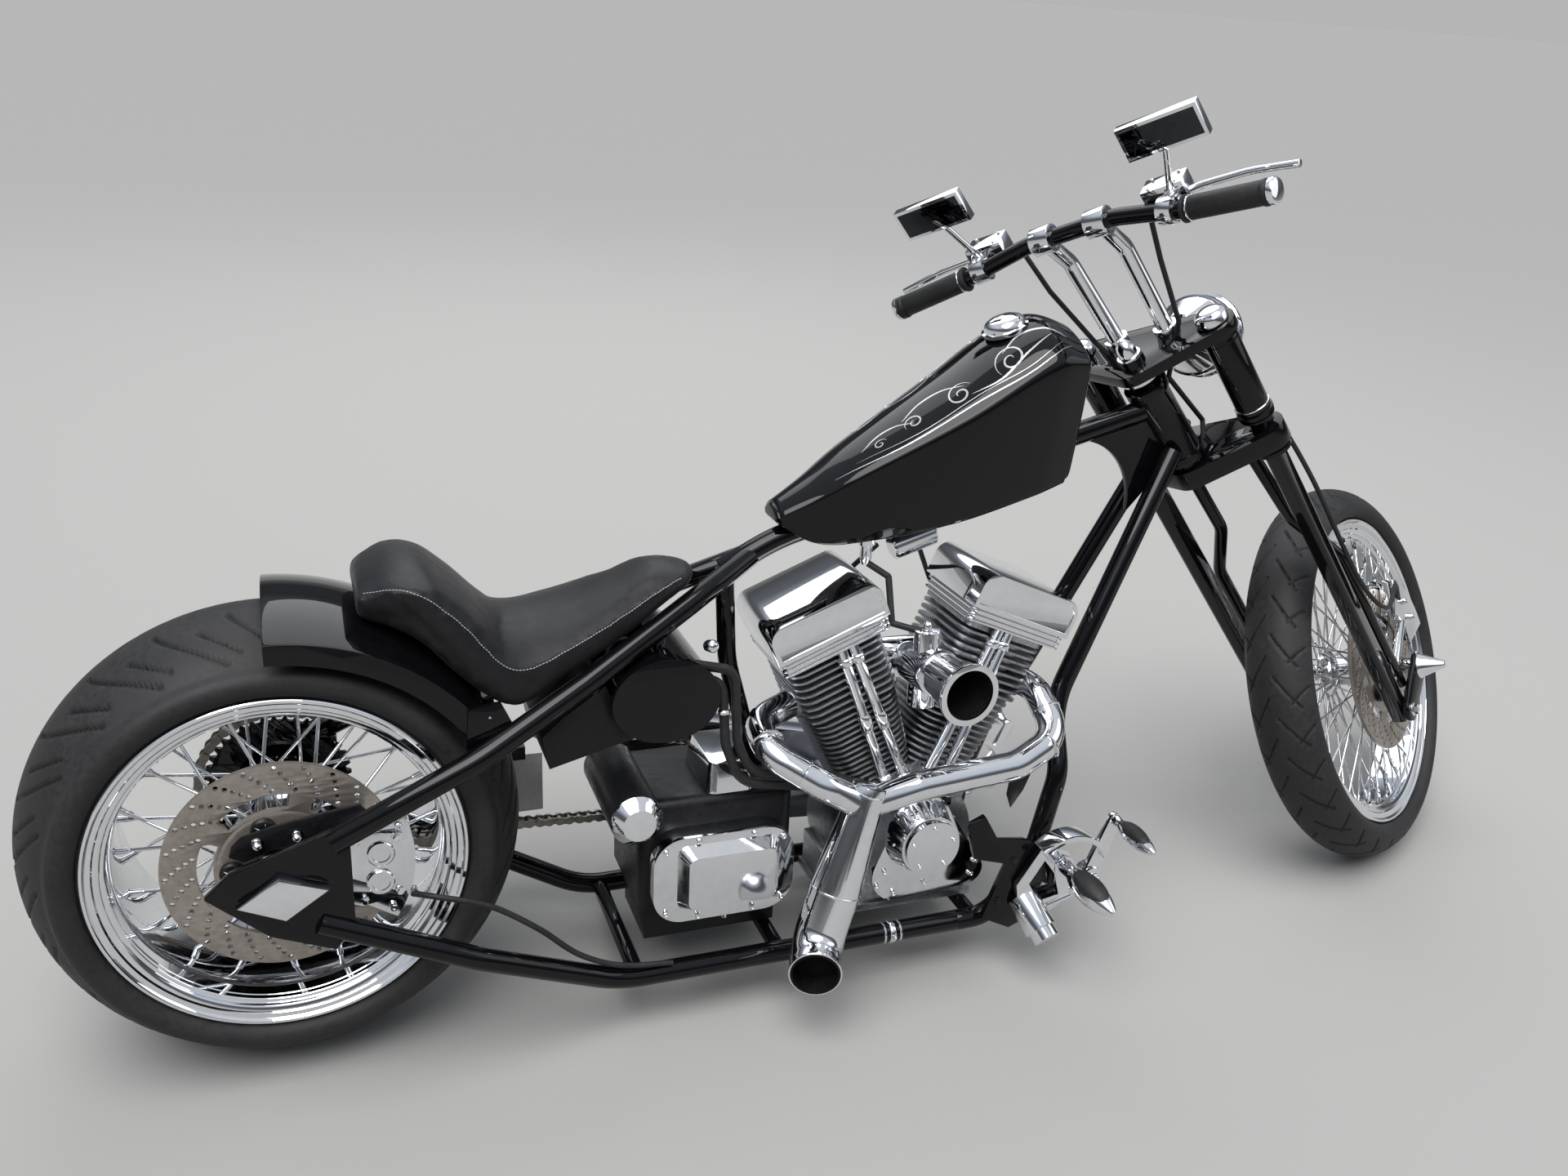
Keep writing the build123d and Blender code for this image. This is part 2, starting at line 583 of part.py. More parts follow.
case_body = across(crank_x, crank_z, -case_half, case_half, case_radius)
case_base = Pos(crank_x, 0, (crank_z - 40 + rail_height + 12) / 2) * Box(230, 2 * case_half,
                                                                        crank_z - 40 - rail_height - 12)
case_feet = Pos(crank_x, 0, rail_height + 18) * Box(236, 2 * case_half + 20, 12)
shaft_housing = across(crank_x, crank_z, case_half, 151, 62)
case = case_body.fuse(case_base, case_feet, shaft_housing)
for turn in (-vee_half_angle, vee_half_angle):
    deck = barrel_plane(turn) * Pos(0, 0, 60) * Box(132, 130, 2 * (barrel_start - 40))
    case = case.fuse(deck)
barrels = []
heads = []
rockers = []
for turn in (-vee_half_angle, vee_half_angle):
    base = barrel_plane(turn)
    core = base * Pos(0, 0, barrel_start) * Cylinder(barrel_radius, barrel_top - barrel_start,
                                                     align=(Align.CENTER, Align.CENTER, Align.MIN))
    fins = []
    for index in range(fin_count):
        grow = 1 - fin_taper + fin_taper * index / (fin_count - 1)
        fin_face = RectangleRounded(fin_length * grow, fin_width * grow, fin_corner)
        height = fin_first + fin_pitch * index
        fins.append(base * Pos(0, 0, height) * extrude(fin_face, amount=fin_thickness))
    barrel = core.fuse(*fins)
    inward = -1 if turn > 0 else 1
    head_face = RectangleRounded(112, 108, 20)
    head_core = base * Pos(0, 0, barrel_top) * extrude(head_face, amount=head_top - barrel_top)
    deck_face = RectangleRounded(fin_length, fin_width, 14)
    head_deck = base * Pos(0, 0, head_top - 12) * extrude(deck_face, amount=12)
    intake_port = base * Pos(inward * (port_reach - 16), -10, 300) * Rot(0, 90, 0) * Cylinder(31, 32)
    exhaust_port = base * Pos(-inward * (port_reach - 16), -20, 291) * Rot(0, 90, 0) * Cylinder(27, 32)
    head_fins = []
    for index in range(head_fin_count):
        fin_face = RectangleRounded(fin_length + 8, fin_width + 4, fin_corner - 6)
        height = barrel_top + 5 + head_fin_pitch * index
        head_fins.append(base * Pos(0, 0, height) * extrude(fin_face, amount=head_fin_thickness))
    barrels.append(barrel)
    heads.append(head_core.fuse(head_deck, intake_port, exhaust_port, *head_fins))
    base = base * Pos(0, rocker_shift, 0)
    core_face = RectangleRounded(rocker_length - 8, rocker_width - 8, 10)
    rocker = base * Pos(0, 0, head_top) * extrude(core_face, amount=rocker_shell_start + 1)
    rib_face = RectangleRounded(rocker_length, rocker_width, 12)
    for index in range(3):
        rib_place = base * Pos(0, 0, head_top + rocker_rib_pitch * index)
        rocker = rocker.fuse(rib_place * extrude(rib_face, amount=rocker_rib_thickness))
    shell_way = barrel_plane(turn).x_dir
    shell_plane = Plane(origin=crank + Vector(0, rocker_shift, 0), x_dir=shell_way, z_dir=(0, -1, 0))
    shell_low = head_top + rocker_shell_start
    shell_face = Pos(0, (shell_low + rocker_top) / 2) * Rectangle(rocker_length + 4, rocker_top - shell_low)
    shell_face = fillet(shell_face.vertices().group_by(Axis.Y)[-1], rocker_corner)
    shell = shell_plane * Pos(0, 0, -rocker_width / 2 - 2) * extrude(shell_face, amount=rocker_width + 4)
    panel_face = offset(shell_face, -rocker_border)
    panel = extrude(panel_face, amount=rocker_panel_depth + 1)
    near_panel = shell_plane * Pos(0, 0, rocker_width / 2 + 2 - rocker_panel_depth) * panel
    far_panel = shell_plane * Pos(0, 0, -rocker_width / 2 - 3) * panel
    rockers.append(rocker.fuse(shell) - near_panel - far_panel)
mid_gap = Pos(crank_x, 0, crank_z + 150) * Box(2.0, 200, 300)
barrels = [(barrel - mid_gap).solids().sort_by(SortBy.VOLUME)[-1] for barrel in barrels]
for barrel in barrels:
    case = case - barrel
case = case.solids().sort_by(SortBy.VOLUME)[-1]
keep("crankcase", "chassis", case)
keep("cylinders", "chassis", barrels)
keep("cylinder_heads", "chassis", heads)
keep("rocker_boxes", "chassis", rockers)

# Intake on the right, between the cylinders
intake_z = 178.0
manifold = rod((crank_x, 0, intake_z - 24), (crank_x, -66, intake_z - 4), 30.0)
manifold_arms = rod((crank_x - 62, -10, intake_z - 4), (crank_x + 62, -10, intake_z - 4), 22.0)
throttle_cap = rod((crank_x - 2, -88, intake_z), (crank_x - 2, -88, intake_z + 58), 19.0)
float_bowl = rod((crank_x, -84, intake_z - 62), (crank_x, -84, intake_z), 22.0)
carburettor = rod((crank_x, -60, intake_z - 4), (crank_x + 8, -118, intake_z), 36.0)
horn_mouth = 44.0
horn_bore = 38.0
horn_start = Vector(crank_x + 8, -116, intake_z)
horn_end = Vector(crank_x + 14, -206, intake_z + 2)
horn_way = (horn_end - horn_start).normalized()
horn_lip = rod(horn_end - horn_way * 6, horn_end, horn_mouth + 3)
horn = cone(horn_start, horn_end, 31.0, horn_mouth).fuse(horn_lip)
horn_throat = horn_end + (horn_start - horn_end) * 0.25
horn_hollow = cone(horn_start + (horn_end - horn_start) * 0.2, horn_throat, 26.0, horn_bore)
horn_mouth_hollow = rod(tuple(horn_throat), tuple(horn_end + (horn_end - horn_start) * 0.05), horn_bore)
intake = manifold.fuse(manifold_arms, carburettor, throttle_cap, float_bowl, horn)
intake = intake - horn_hollow - horn_mouth_hollow
for solid in heads + barrels + rockers:
    intake = intake - solid
intake = intake.solids().sort_by(SortBy.VOLUME)[-1]
keep("intake_and_horn", "chassis", intake)

pushrods = []
for turn, ways in ((-vee_half_angle, (-34, -4)), (vee_half_angle, (4, 34))):
    base = barrel_plane(turn)
    for way in ways:
        foot = Vector(crank_x + way * 1.2, -pushrod_side, crank_z + 92)
        inward = 26 if turn < 0 else -26
        top = base.from_local_coords(Vector(way * 0.6 + inward, -pushrod_side, head_top + 6))
        pushrods.append(rod(foot, tuple(top), pushrod_radius))
lifter_block = Pos(crank_x, -case_half - 13, crank_z + 84) * Box(120, 26, 30)
pushrod_set = lifter_block.fuse(*pushrods)
for solid in rockers:
    pushrod_set = pushrod_set - solid
keep("pushrod_tubes", "chassis", pushrod_set.solids().sort_by(SortBy.VOLUME)[-1])

# Exhaust: two header pipes that join and turn out on the right
header_radius = 22.0
collector_start = 26.0
collector_end = 38.0
outlet_bore = 34.0
join_point = (792.0, -174.0, 8.0)
rear_header_points = [(744, -16, 113), (664, -58, 104), (660, -128, 86), (732, -170, 44), join_point]
front_header_points = [(1090, -16, 118), (1120, -72, 114), (1122, -150, 66), (1040, -172, 38),
                       (880, -176, 28), join_point]
rear_header = bent_tube(rear_header_points, header_radius, [50, 50, 60])
front_header = bent_tube(front_header_points, header_radius, [50, 60, 90, 90])
collector_top = Vector(802, -171, 38)
collector_low = Vector(750, -187, -118)
outlet_knee = collector_top + (collector_low - collector_top) * 1.56
outlet_point = Vector(700, -250, -212)
collector = cone(tuple(collector_top), tuple(collector_low), collector_start, collector_end)
outlet_path = FilletPolyline(collector_low, outlet_knee, outlet_point, radius=52)
elbow_start = Plane(origin=outlet_path @ 0, z_dir=outlet_path % 0)
elbow = sweep(elbow_start * Circle(collector_end), path=outlet_path)
outlet_dir = (outlet_point - outlet_knee).normalized()
exhaust = rear_header.fuse(front_header, collector, elbow)
exhaust = exhaust - rod(outlet_point - outlet_dir * 34, outlet_point + outlet_dir * 4, outlet_bore)
for solid in heads + barrels:
    exhaust = exhaust - solid
exhaust = exhaust.solids().sort_by(SortBy.VOLUME)[-1]
keep("exhaust", "chassis", exhaust)

# Covers on the right
cam_x = crank_x + 4
cam_z = crank_z + 34
cam_lobes = [  # ahead of the crank centre, above it, radius
    (-24, -32, 48),
    (93, -44, 26),
    (8, 52, 46),
]
with BuildSketch(Plane.XZ) as cam_outline:
    for ahead, above, radius in cam_lobes:
        with Locations((crank_x + ahead, crank_z + above)):
            Circle(radius)
    make_hull()
cam_cover = extrude(cam_outline.sketch, amount=40, dir=(0, 1, 0)).moved(Location((0, -case_half - 40, 0)))
cam_nose = across(cam_x, cam_z, -case_half - 86, -case_half - 38, 44.0)
cam_cone = cone((cam_x, -case_half - 39, cam_z), (cam_x, -case_half - 78, cam_z), 60.0, 48.0)
cam_cover = cam_cover.fuse(cam_nose, cam_cone) - nodes["pushrod_tubes"][1][0] - case
cam_cover = cam_cover.solids().sort_by(SortBy.VOLUME)[-1]

# Gearbox, its covers, starter and final drive
gearbox_low = gearbox_z - gearbox_height / 2
gearbox_face = RectangleRounded(gearbox_length, 2 * gearbox_half, 24)
gearbox_block = Pos(gearbox_x, 0, gearbox_low) * extrude(gearbox_face, amount=gearbox_height)
gearbox_block = fillet(gearbox_block.edges().group_by(Axis.Z)[-1], 18)
foot_height = gearbox_low - rail_height - 12
gearbox_foot = Pos(gearbox_x, 0, gearbox_low - foot_height / 2) * Box(gearbox_length - 30, 120, foot_height)
output_shaft = across(gearbox_x, gearbox_z, gearbox_half, 133, 30)
drive_sprocket = across(gearbox_x, gearbox_z, 132, chain_side + sprocket_thickness, front_sprocket_radius)
gearbox = gearbox_block.fuse(gearbox_foot, output_shaft, drive_sprocket)
gearbox = gearbox - seat_post
gearbox = gearbox.solids().sort_by(SortBy.VOLUME)[-1]
keep("gearbox", "chassis", gearbox)
cover_length = 214.0
cover_height = 138.0
cover_depth = 34.0
cover_face = Plane(origin=(gearbox_x, -gearbox_half, gearbox_z - 24), x_dir=(1, 0, 0), z_dir=(0, -1, 0))
cover_plate = cover_face * extrude(RectangleRounded(cover_length, cover_height, 46), amount=cover_depth)
boss_low = Pos(6, 4, cover_depth - 1) * RectangleRounded(cover_length - 58, cover_height - 32, 16)
boss_high = Pos(6, 4, cover_depth + 22) * RectangleRounded(cover_length - 82, cover_height - 54, 12)
cover_boss = loft([cover_face * boss_low, cover_face * boss_high])
gearbox_top = gearbox_low + gearbox_height
top_cover = loft([Pos(gearbox_x + 20, -22, gearbox_top) * RectangleRounded(76, 130, 16),
                  Pos(gearbox_x + 20, -22, gearbox_top + 44) * RectangleRounded(60, 110, 12)])
keep("engine_covers", "chassis", [cam_cover, cover_plate.fuse(cover_boss), top_cover])
starter_x = 470.0
starter_z = 0.0
starter_cap = cone((starter_x, -118, starter_z), (starter_x, -134, starter_z), 38.0, 24.0)
starter = across(starter_x, starter_z, -118, 60, 38.0).fuse(starter_cap) - gearbox - battery_box
keep("starter", "chassis", starter.solids().sort_by(SortBy.VOLUME)[-1])

primary_from = 152.0
primary_to = 202.0
with BuildSketch(Plane.XZ) as primary_outline:
    with Locations((gearbox_x, gearbox_z)):
        Circle(98)
    with Locations((crank_x, crank_z)):
        Circle(74)
    make_hull()
primary = extrude(primary_outline.sketch, amount=primary_to - primary_from, dir=(0, 1, 0))
primary = primary.moved(Location((0, primary_from, 0)))
clutch_shaft = across(gearbox_x, gearbox_z, chain_side + sprocket_thickness, primary_from, 24.0)
keep("primary_cover", "chassis", primary.fuse(clutch_shaft))


def chain_outline(grow):
    """Outline of the chain's loop round both sprockets, grown by a distance."""
    with BuildSketch(Plane.XZ) as loop:
        Circle(rear_sprocket_radius + grow)
        with Locations((gearbox_x, gearbox_z)):
            Circle(front_sprocket_radius + grow)
        make_hull()
    return loop.sketch


chain_rows = [  # from, to, step in from the plates' edges
    (-chain_half_width, -chain_half_width + 4, 0.0),
    (-chain_half_width + 3, chain_half_width - 3, chain_plate_step),
    (chain_half_width - 4, chain_half_width, 0.0),
]
chain_parts = []
for row_from, row_to, inset in chain_rows:
    ring = chain_outline(chain_clearance + chain_height - inset) - chain_outline(chain_clearance + inset)
    row = extrude(ring, amount=row_to - row_from, dir=(0, 1, 0))
    chain_parts.append(row.moved(Location((0, chain_side + row_from, 0))))
chain = chain_parts[0].fuse(*chain_parts[1:])
keep("drive_chain", "chassis", chain)

# Hoses between the oil tank, the gearbox and the engine
hose_radius = 7.0
hoses = []
for shift in (0.0, 18.0):
    hose_points = [(556 - shift * 0.45, -98, 206 + shift), (596 + shift, -100, 190 + shift),
                   (600 + shift, -108, 100), (622 + shift, -112, 36 + shift * 0.6),
                   (690, -110, 22 + shift), (800, -86, -14 + shift), (866, -58, -62 + shift)]
    hoses.append(bent_tube(hose_points, hose_radius, [24, 60, 50, 60, 60]))
hose_set = []
for hose in hoses:
    for solid in [oil_tank, case, gearbox] + barrels + [exhaust]:
        hose = hose - solid
    hose_set.append(hose.solids().sort_by(SortBy.VOLUME)[-1])
keep("oil_hoses", "chassis", hose_set)

# Forward controls, the same on both sides
peg_x = 1142.0
peg_z = -147.0
pedal_x = 1228.0
pedal_z = -80.0
pedal_pivot_x = 1196.0
pedal_pivot_z = -176.0
plate_out = -rail_side - 32
control_out = plate_out - 16
control_outline = [(1016, -232), (1050, -140), (1096, -112), (1150, -150), (1140, -226), (1066, -258)]
control_plate = plate(control_outline, plate_out, plate_out + 10)
bracket_outline = [(1050, -140), (1096, -112), (1078, -101), (1030, -94), (1004, -50), (976, -62),
                   (992, -122)]
bracket_arm = plate(bracket_outline, plate_out, plate_out + 10)
side_frame = plate([(1062, -172), (1104, -106), (1152, -128), (1166, -206), (1108, -238), (1072, -226)],
                   control_out, control_out + 10)
side_window = plate([(1084, -172), (1108, -134), (1128, -160), (1140, -200), (1104, -206)],
                    control_out - 1, control_out + 11)


def foot_pad(root, tip, neck, widest):
    """Peg or pedal pad, turned about its own axis: a neck that swells and closes to a blunt tip."""
    length = (Vector(tip) - Vector(root)).length
    swell = ThreePointArc((neck, length * 0.18), (widest, length * 0.56), (neck * 0.4, length))
    outline = make_face([Line((0, 0), (neck, 0)), Line((neck, 0), (neck, length * 0.18)), swell,
                         Line((neck * 0.4, length), (0, length)), Line((0, length), (0, 0))])
    pad = revolve(Plane.XZ * outline, axis=Axis.Z)
    return Plane(origin=root, z_dir=Vector(tip) - Vector(root)) * pad


peg = foot_pad((peg_x, control_out, peg_z), (peg_x + 20, -296, peg_z - 20), 12.0, 22.0)
peg_pivot = across(peg_x, peg_z, control_out - 4, plate_out + 1, 17.0)
control_hub = rod((1084, plate_out + 1, -206), (1098, -206, -240), 26.0)
hub_end = rod((1098, -206, -240), (1102, -220, -250), 21.0)
hub_link = rod((1098, control_out + 5, -224), (1162, control_out + 5, -206), 8.0)
guard_outer = ThreePointArc((1096, -110), (1150, -90), (1214, -132))
guard_inner = ThreePointArc((1206, -138), (1150, -98), (1102, -118))
guard_face = Plane.XZ * make_face([guard_outer, Line((1214, -132), (1206, -138)), guard_inner,
                                   Line((1102, -118), (1096, -110))])
guard = extrude(guard_face, amount=34, dir=(0, 1, 0)).moved(Location((0, plate_out - 32, 0)))
with BuildSketch(Plane.XZ) as pedal_outline:
    with Locations((pedal_x, pedal_z)):
        Circle(10)
    with Locations((pedal_pivot_x, pedal_pivot_z)):
        Circle(15)
    make_hull()
pedal_arm = extrude(pedal_outline.sketch, amount=10, dir=(0, 1, 0)).moved(Location((0, control_out, 0)))
pedal_hub = across(pedal_pivot_x, pedal_pivot_z, control_out - 6, plate_out + 6, 17.0)
pedal_link = rod((1160, control_out + 5, -196), (pedal_pivot_x, control_out + 5, pedal_pivot_z), 9.0)
pedal_pad = foot_pad((pedal_x, control_out + 4, pedal_z), (pedal_x, -284, pedal_z), 9.0, 15.0)
mount_pin = rod((1084, plate_out - 4, -180), (1084, -rail_side + 6, -180), 14.0)
control = side_frame - side_window
control = control.fuse(peg, peg_pivot, control_hub, hub_end, hub_link, guard)
control = control.fuse(pedal_arm, pedal_hub, pedal_link, pedal_pad)
control = control - downtube - rail - control_plate - mount_pin
control = control.solids().sort_by(SortBy.VOLUME)[-1]
keep("forward_controls", "chassis", [control, mirrored(control)])
plated_downtube = downtube.fuse(mount_pin, control_plate) - rail
plated_downtube = plated_downtube.solids().sort_by(SortBy.VOLUME)[-1]
keep("frame_downtubes", "chassis", [plated_downtube.fuse(bracket_arm), mirrored(plated_downtube)])


def caliper(side, half, inner, outer, middle_turn, spread):
    """Brake caliper: a sector that straddles its disc, with the disc's slot cut out."""
    outline = Polyline((inner, side - half), (outer, side - half), (outer, side + half),
                       (inner, side + half), close=True)
    body = revolve(make_face(outline), axis=Axis.Y, revolution_arc=2 * spread)
    body = body.rotate(Axis.Y, -middle_turn - spread)
    slot = turned([(inner - 8, side - 4.5), (disc_radius + 5, side - 4.5), (disc_radius + 5, side + 4.5),
                   (inner - 8, side + 4.5)])
    return body - slot


rear_caliper = caliper(-rear_disc_side, 22, 92, 166, -6, 27)
bracket_outline = [(-24, 4), (0, 26), (96, 44), (150, 40), (152, -52), (96, -62), (0, -26), (-24, -4)]
caliper_bracket = plate(bracket_outline, -rear_disc_side - 30, -rear_disc_side - 21)
rear_caliper = rear_caliper.fuse(caliper_bracket) - rear_axle
keep("rear_caliper", "chassis", rear_caliper.solids().sort_by(SortBy.VOLUME)[-1])

# Number plate and lamp on the left
plate_side = 204.0
number_plate = plate([(217, -40), (395, -40), (395, -142), (217, -142)], plate_side - 1.5, plate_side + 1.5)
plate_bracket = rod((244, 160, -152), (262, plate_side, -128), 8.0) - mirrored(rail)
tail_lamp = Pos(306, plate_side, -31) * Box(120, 30, 22)
plate_set = number_plate.fuse(plate_bracket.solids().sort_by(SortBy.VOLUME)[-1], tail_lamp)
keep("plate_and_lamp", "chassis", plate_set - mirrored(rail))

# Fork pieces are drawn with X ahead of, Y beside and Z along the steering axis
leg_rise = top_tree_high + 6 - leg_bottom


def leg_point(along, ahead=0.0, side=0.0):
    """A point on the right leg's centre line, with an offset."""
    share = (along - leg_bottom) / leg_rise
    forward = leg_ahead_low + (leg_ahead_top - leg_ahead_low) * share
    out = leg_side_low + (leg_side_top - leg_side_low) * share
    return Vector(forward + ahead, -out + side, along)


leg_top = leg_point(top_tree_high + 6)
leg_foot = leg_point(leg_bottom - 14)
leg_plane = Plane(origin=leg_foot, x_dir=(1, 0, 0), z_dir=leg_top - leg_foot)
leg = leg_plane * extrude(RectangleRounded(leg_depth, leg_width, 9), amount=(leg_top - leg_foot).length)
leg = leg.fuse(rod(leg_point(lower_tree_high + 18), leg_point(top_tree_low - 1), sleeve_radius))


def tree(low, high, reach):
    """Flat fork yoke that clamps both legs and holds the steering stem."""
    middle = leg_point((low + high) / 2)
    with BuildSketch(Plane.XY) as outline:
        Circle(36)
        with Locations((middle.X, middle.Y), (middle.X, -middle.Y)):
            Circle(reach)
        make_hull()
    body = extrude(outline.sketch, amount=high - low).moved(Location((0, 0, low)))
    return body - leg - mirrored(leg)


stem = Pos(0, 0, lower_tree_low) * Cylinder(stem_radius, top_tree_high - lower_tree_low + 10,
                                            align=(Align.CENTER, Align.CENTER, Align.MIN))
stem_shoulder = Pos(0, 0, lower_tree_high - 1) * Cylinder(24, neck_bottom - lower_tree_high + 0.7,
                                                          align=(Align.CENTER, Align.CENTER, Align.MIN))
stem_nut = Pos(0, 0, top_tree_high) * Cylinder(20, 14, align=(Align.CENTER, Align.CENTER, Align.MIN))
lower_tree = tree(lower_tree_low, lower_tree_high, 33)
stem_collar = Pos(0, 0, neck_top + 0.3) * Cylinder(24, top_tree_low - neck_top + 1,
                                                   align=(Align.CENTER, Align.CENTER, Align.MIN))
top_tree = tree(top_tree_low, top_tree_high, 33)
keep("fork_trees", "fork", lower_tree.fuse(stem, stem_shoulder, top_tree, stem_nut, stem_collar))

axle_up = axle_along
axle_ahead = fork_offset
thin_points = [(leg_point(560).X + 26, -56, lower_tree_low + 2), (leg_point(345).X + 46, -62, 345),
               (leg_point(245).X + 50, -leg_side_low, 245),
               (leg_point(-60).X + 50, -leg_side_low, axle_up + 8)]
thin_tube = bent_tube(thin_points, thin_tube_radius, [60, 60]) - lower_tree
thin_tube = thin_tube.solids().sort_by(SortBy.VOLUME)[-1]

rocker_pivot = leg_point(leg_bottom)
with BuildSketch(Plane.XZ) as rocker_outline:
    with Locations((rocker_pivot.X, leg_bottom)):
        Circle(21)
    with Locations((axle_ahead, axle_up)):
        Circle(24)
    make_hull()
rocker_side = leg_side_low + leg_width / 2
rocker_plate = extrude(rocker_outline.sketch, amount=10, dir=(0, 1, 0))
rocker_plate = rocker_plate.moved(Location((0, -rocker_side - 10, 0)))
front_spacer = across(axle_ahead, axle_up, -rocker_side, -front_hub[3] - 1, 15.0)
front_axle_cap = cone((axle_ahead, -rocker_side - 10, axle_up),
                      (axle_ahead, -rocker_side - 52, axle_up), 22.0, 6.0)
front_axle_bar = across(axle_ahead, axle_up, -rocker_side - 10, rocker_side + 10, front_axle_radius)
side_pieces = rocker_plate.fuse(front_spacer, front_axle_cap)
axle_set = front_axle_bar.fuse(side_pieces, mirrored(side_pieces)) - leg - mirrored(leg)
thin_tube = thin_tube - axle_set
axle_set = axle_set.solids().sort_by(SortBy.VOLUME)[-1]
thin_tube = thin_tube.solids().sort_by(SortBy.VOLUME)[-1]
keep("fork_legs", "fork", [leg, mirrored(leg), thin_tube, mirrored(thin_tube)])
keep("front_axle_and_rockers", "fork", axle_set)

front_caliper = caliper(-front_disc_side, 30, 98, 164, 8, 26).moved(Location((axle_ahead, 0, axle_up)))
caliper_arm = rod(tuple(leg_point(74, 16)), (axle_ahead + 96, -front_disc_side - 22, 24), 9.0)
caliper_arm_low = rod(tuple(leg_point(-40, 16)), (axle_ahead + 100, -front_disc_side - 24, -66), 8.0)
front_caliper = front_caliper.fuse(caliper_arm, caliper_arm_low) - leg - thin_tube - axle_set
keep("front_caliper", "fork", front_caliper.solids().sort_by(SortBy.VOLUME)[-1])

bar_points = [(-14, -grip_outer, 990), (4, -grip_inner, 995), (bar_ahead, -72, bar_along),
              (bar_ahead, 72, bar_along), (4, grip_inner, 995), (-14, grip_outer, 990)]
handlebar = bent_tube(bar_points, bar_radius, [200, 120, 120, 200])
keep("handlebar", "fork", handlebar)
riser_points = [(60, -42, top_tree_high), (58, -riser_side, 940), (bar_ahead, -riser_side, bar_along)]
riser = bent_tube(riser_points, 13.0, [40])
riser_clamp = rod((bar_ahead, -riser_side - 16, bar_along), (bar_ahead, -riser_side + 16, bar_along), 21.0)
riser_foot = rod((60, -42, top_tree_high), (60, -42, top_tree_high + 16), 19.0)
riser = (riser.fuse(riser_clamp, riser_foot) - handlebar - top_tree).solids().sort_by(SortBy.VOLUME)[-1]
keep("handlebar_risers", "fork", [riser, mirrored(riser)])
grip = rod((4, -grip_inner - 3, 995), (-14, -grip_outer - 3, 990), grip_radius) - handlebar
grip = grip.solids().sort_by(SortBy.VOLUME)[-1]
keep("grips", "fork", [grip, mirrored(grip)])
perch = rod((10, -168, 996), (14, -146, 998), 20.0)
reservoir = Pos(48, -150, 1010) * Box(34, 62, 28)
perch_neck = Pos(32, -158, 1000) * Box(30, 30, 22)
lever_points = [(40, -164, 1000), (52, -196, 998), (58, -262, 992), (46, -330, 986)]
lever = bent_tube(lever_points, 5.5, [40, 120])
hand_control = perch.fuse(reservoir, perch_neck, lever) - handlebar - grip
hand_control = hand_control.solids().sort_by(SortBy.VOLUME)[-1]
keep("hand_controls", "fork", [hand_control, mirrored(hand_control)])
mirror_stem = rod((30, -160, 1010), (28, -186, 1084), 5.0)
mirror_glass = Pos(28, -191, 1103) * Box(14, 118, 50)
mirror_piece = mirror_glass.fuse(mirror_stem) - hand_control
mirror_piece = mirror_piece.solids().sort_by(SortBy.VOLUME)[-1]
keep("mirrors", "fork", [mirror_piece, mirrored(mirror_piece)])

level = Vector(math.cos(math.radians(rake)), 0, -math.sin(math.radians(rake)))
lamp_centre = Vector(205, 0, 668)
lamp_bucket = cone(lamp_centre - level * 62, lamp_centre - level * 8, 34.0, 62.0)
lamp_rim = rod(lamp_centre - level * 9, lamp_centre + level * 30, 66.0)
lamp_arm = rod((70, 0, 766), tuple(lamp_centre - level * 34 + Vector(0, 0, 10)), 12.0) - top_tree
headlight = lamp_bucket.fuse(lamp_rim, lamp_arm.solids().sort_by(SortBy.VOLUME)[-1])
keep("headlight", "fork", headlight)

# Side stand, swung out on the left
ground_drop = rear_lift


def ground_height(side):
    """Height of the ground under a place beside the leaning bike, in the upright drawing."""
    return (side * math.sin(lean_turn) - ground_drop) / math.cos(lean_turn)


foot_point = Vector(stand_foot_x, stand_foot_side, ground_height(stand_foot_side) + stand_foot_thickness / 2)
pivot_point = Vector(*stand_pivot)
stand_axis = Vector(-0.10, 0.52, 0.85).normalized()
stand_leg = rod(tuple(pivot_point), tuple(foot_point), stand_leg_radius)
ground_normal = Vector(0, -math.sin(lean_turn), math.cos(lean_turn))
foot_base = foot_point - ground_normal * (stand_foot_thickness / 2)
foot_top = foot_base + ground_normal * stand_foot_thickness
stand_foot = rod(tuple(foot_base), tuple(foot_top), stand_foot_radius)
stand_below = Box(120, 120, 40, align=(Align.CENTER, Align.CENTER, Align.MAX))
stand_below = Plane(origin=foot_base, z_dir=ground_normal) * stand_below
stand_knuckle = rod(tuple(pivot_point - stand_axis * 7), tuple(pivot_point + stand_axis * 7), 16.0)
stand_bore = rod(tuple(pivot_point - stand_axis * 30), tuple(pivot_point + stand_axis * 30), 6.05)
stand_ear_room = rod(tuple(pivot_point + stand_axis * 7), tuple(pivot_point + stand_axis * 60), 14.6)
stand = stand_leg.fuse(stand_foot, stand_knuckle) - stand_below - stand_bore - stand_ear_room
stand = stand.solids().sort_by(SortBy.VOLUME)[-1]
keep("side_stand", "side_stand", stand)
stand_pin = rod(tuple(pivot_point - stand_axis * 10), tuple(pivot_point + stand_axis * 20), 6.0)
stand_ear = rod(tuple(pivot_point + stand_axis * 7.3), tuple(pivot_point + stand_axis * 36), 14.0)
stand_arm = rod(tuple(pivot_point + stand_axis * 29), (stand_pivot[0], rail_side, rail_height + 12), 7.0)
keep("frame_lower_rails", "chassis", [rail, mirrored(rail).fuse(stand_ear, stand_pin, stand_arm)])

